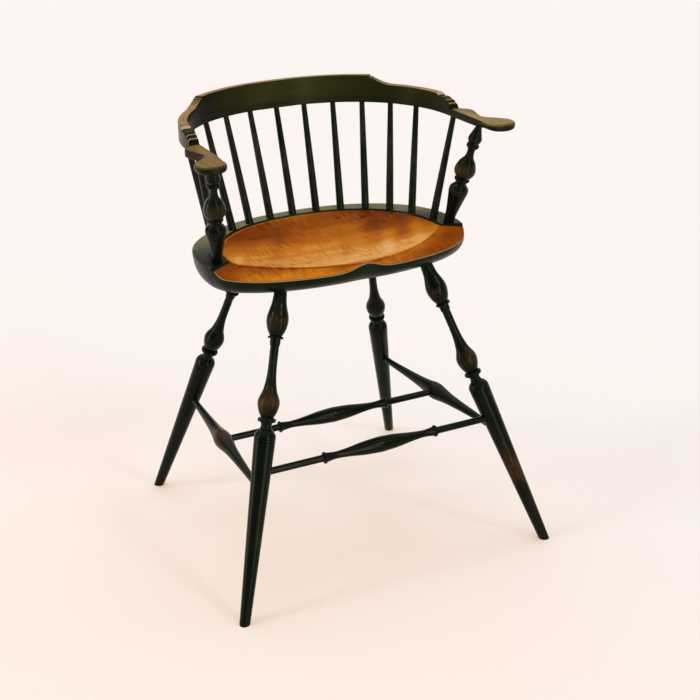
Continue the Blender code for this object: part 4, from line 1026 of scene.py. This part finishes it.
half_stations = [(at, crest_level, 0.8) for at in spaced(0.0, 0.1885, 50)]
half_stations += [(0.1895, 0.0407, 1.0), (0.1902, 0.0400, 0.3), (0.1905, 0.0375, 0.0), (0.1909, 0.0371, 0.2),
                  (0.1925, 0.0370, 1.0), (0.1950, 0.0369, 1.0), (0.1957, 0.0365, 0.4), (0.1960, 0.0357, 0.0)]
half_stations += [(at, crest_height(at), 0.6 + 0.4 * smoothstep((at - 0.2) / 0.03))
                  for at in spaced(0.1970, shoulder_at, 24)]
half_stations += [(at, crest_height(at), 1.0) for at in spaced(shoulder_at, 0.3400, 34)[1:]]
# Groove and bead at the lobe's end; the rub of 1.2 to 1.3 on the bead's rounded top draws a painted
# highlight.
half_stations += [(0.3408, 0.0226, 0.5), (0.3413, 0.0219, 0.2), (0.3418, 0.0225, 0.8), (0.3432, 0.0231, 1.0),
                  (0.3470, 0.0234, 1.0), (0.3505, 0.0231, 1.0), (0.3530, 0.0224, 1.2), (0.3552, 0.0213, 1.3),
                  (0.3570, 0.0200, 1.2), (0.3580, 0.0188, 0.6), (0.3587, 0.0172, 0.0), (0.3590, 0.0169, 0.0)]
for i in range(block_count + 1):
    part = i / block_count
    turn = math.pi / 2 * part
    at = block_at + (crest_end - block_at) * math.sin(turn) ** (1.0 / 1.2)
    reed = next(k for k in range(4) if part <= reed_grooves[k + 1])
    share = (part - reed_grooves[reed]) / (reed_grooves[reed + 1] - reed_grooves[reed])
    bulge = reed_relief * (math.sin(math.pi * share) ** 0.6 - 0.5)
    worn = reed_highlights[reed]
    # The rub gathers into a narrow line near each reed's top, a painted highlight.
    if reed > 0:
        worn *= max(1.0 - abs(share - 0.30) / 0.22, 0.0)
    half_stations.append((at + bulge * math.sin(turn),
                          block_foot + (block_height + bulge) * math.cos(turn), worn))
half_stations += [(crest_end, 0.0006, 0.0)]
stations = [(-at, height, worn) for at, height, worn in reversed(half_stations[1:])] + half_stations
sections = []
for at, height, worn_here in stations:
    _, outer = arm_span(abs(at))
    high = arm_top_z + height
    past_step = smoothstep((abs(at) - 0.185) / 0.008)
    browned = 0.75 * smoothstep((abs(at) - 0.20) / 0.11)
    back_round = min(0.008 - 0.003 * past_step, height * 0.4)
    front_round = min(0.0018, height * 0.3)
    rounds = (0.0003, 0.0003, back_round, front_round)
    points = rounded_section(0.0, outer, arm_top_z - crest_bed, high, rounds)
    wear = []
    for off, z in points:
        top = smoothstep((z - high + 0.0012 + 0.004 * smoothstep(off / outer)) / 0.001)
        on_back = off > outer - 0.002 and z < high - 0.003
        wear.append((worn_here * top, browned if on_back else 0.0))
    sections.append((at, points, wear))
crest_paint = sawn_paint("crest_paint", (0.0036, 0.0036, 0.0022), (0.0730, 0.0750, 0.0165),
                         (0.39, 0.240, 0.075), (0.36, 0.15, 0.048))
set_in_place(along_rail(sections), "sawn_crest", (crest_paint,), "paint", "crest")


# Pegs: two turned maple dowels, painted with the rest. They are driven up through the arms into the ends
# of the crest and hold it down, and their ends are a little domed.
peg_from_end = 0.066
peg_outset = 0.00925
for side, side_name in ((-1, "left"), (1, "right")):
    peg = rail.at(side * (crest_end - peg_from_end), peg_outset)
    outline = curve([(-0.0004, 0.0028, 0.4), (0.0002, 0.0036, 0.4), (0.0010, 0.0040, 0.2)], 3)
    outline += [(0.026, 0.0040, 0.0)]
    turned("turned_crest_peg_" + side_name, outline, sides=24, origin=Vector((peg.x, peg.y, arm_under_z)),
           toward=Vector((peg.x, peg.y, arm_top_z)), finish=turning_paint)
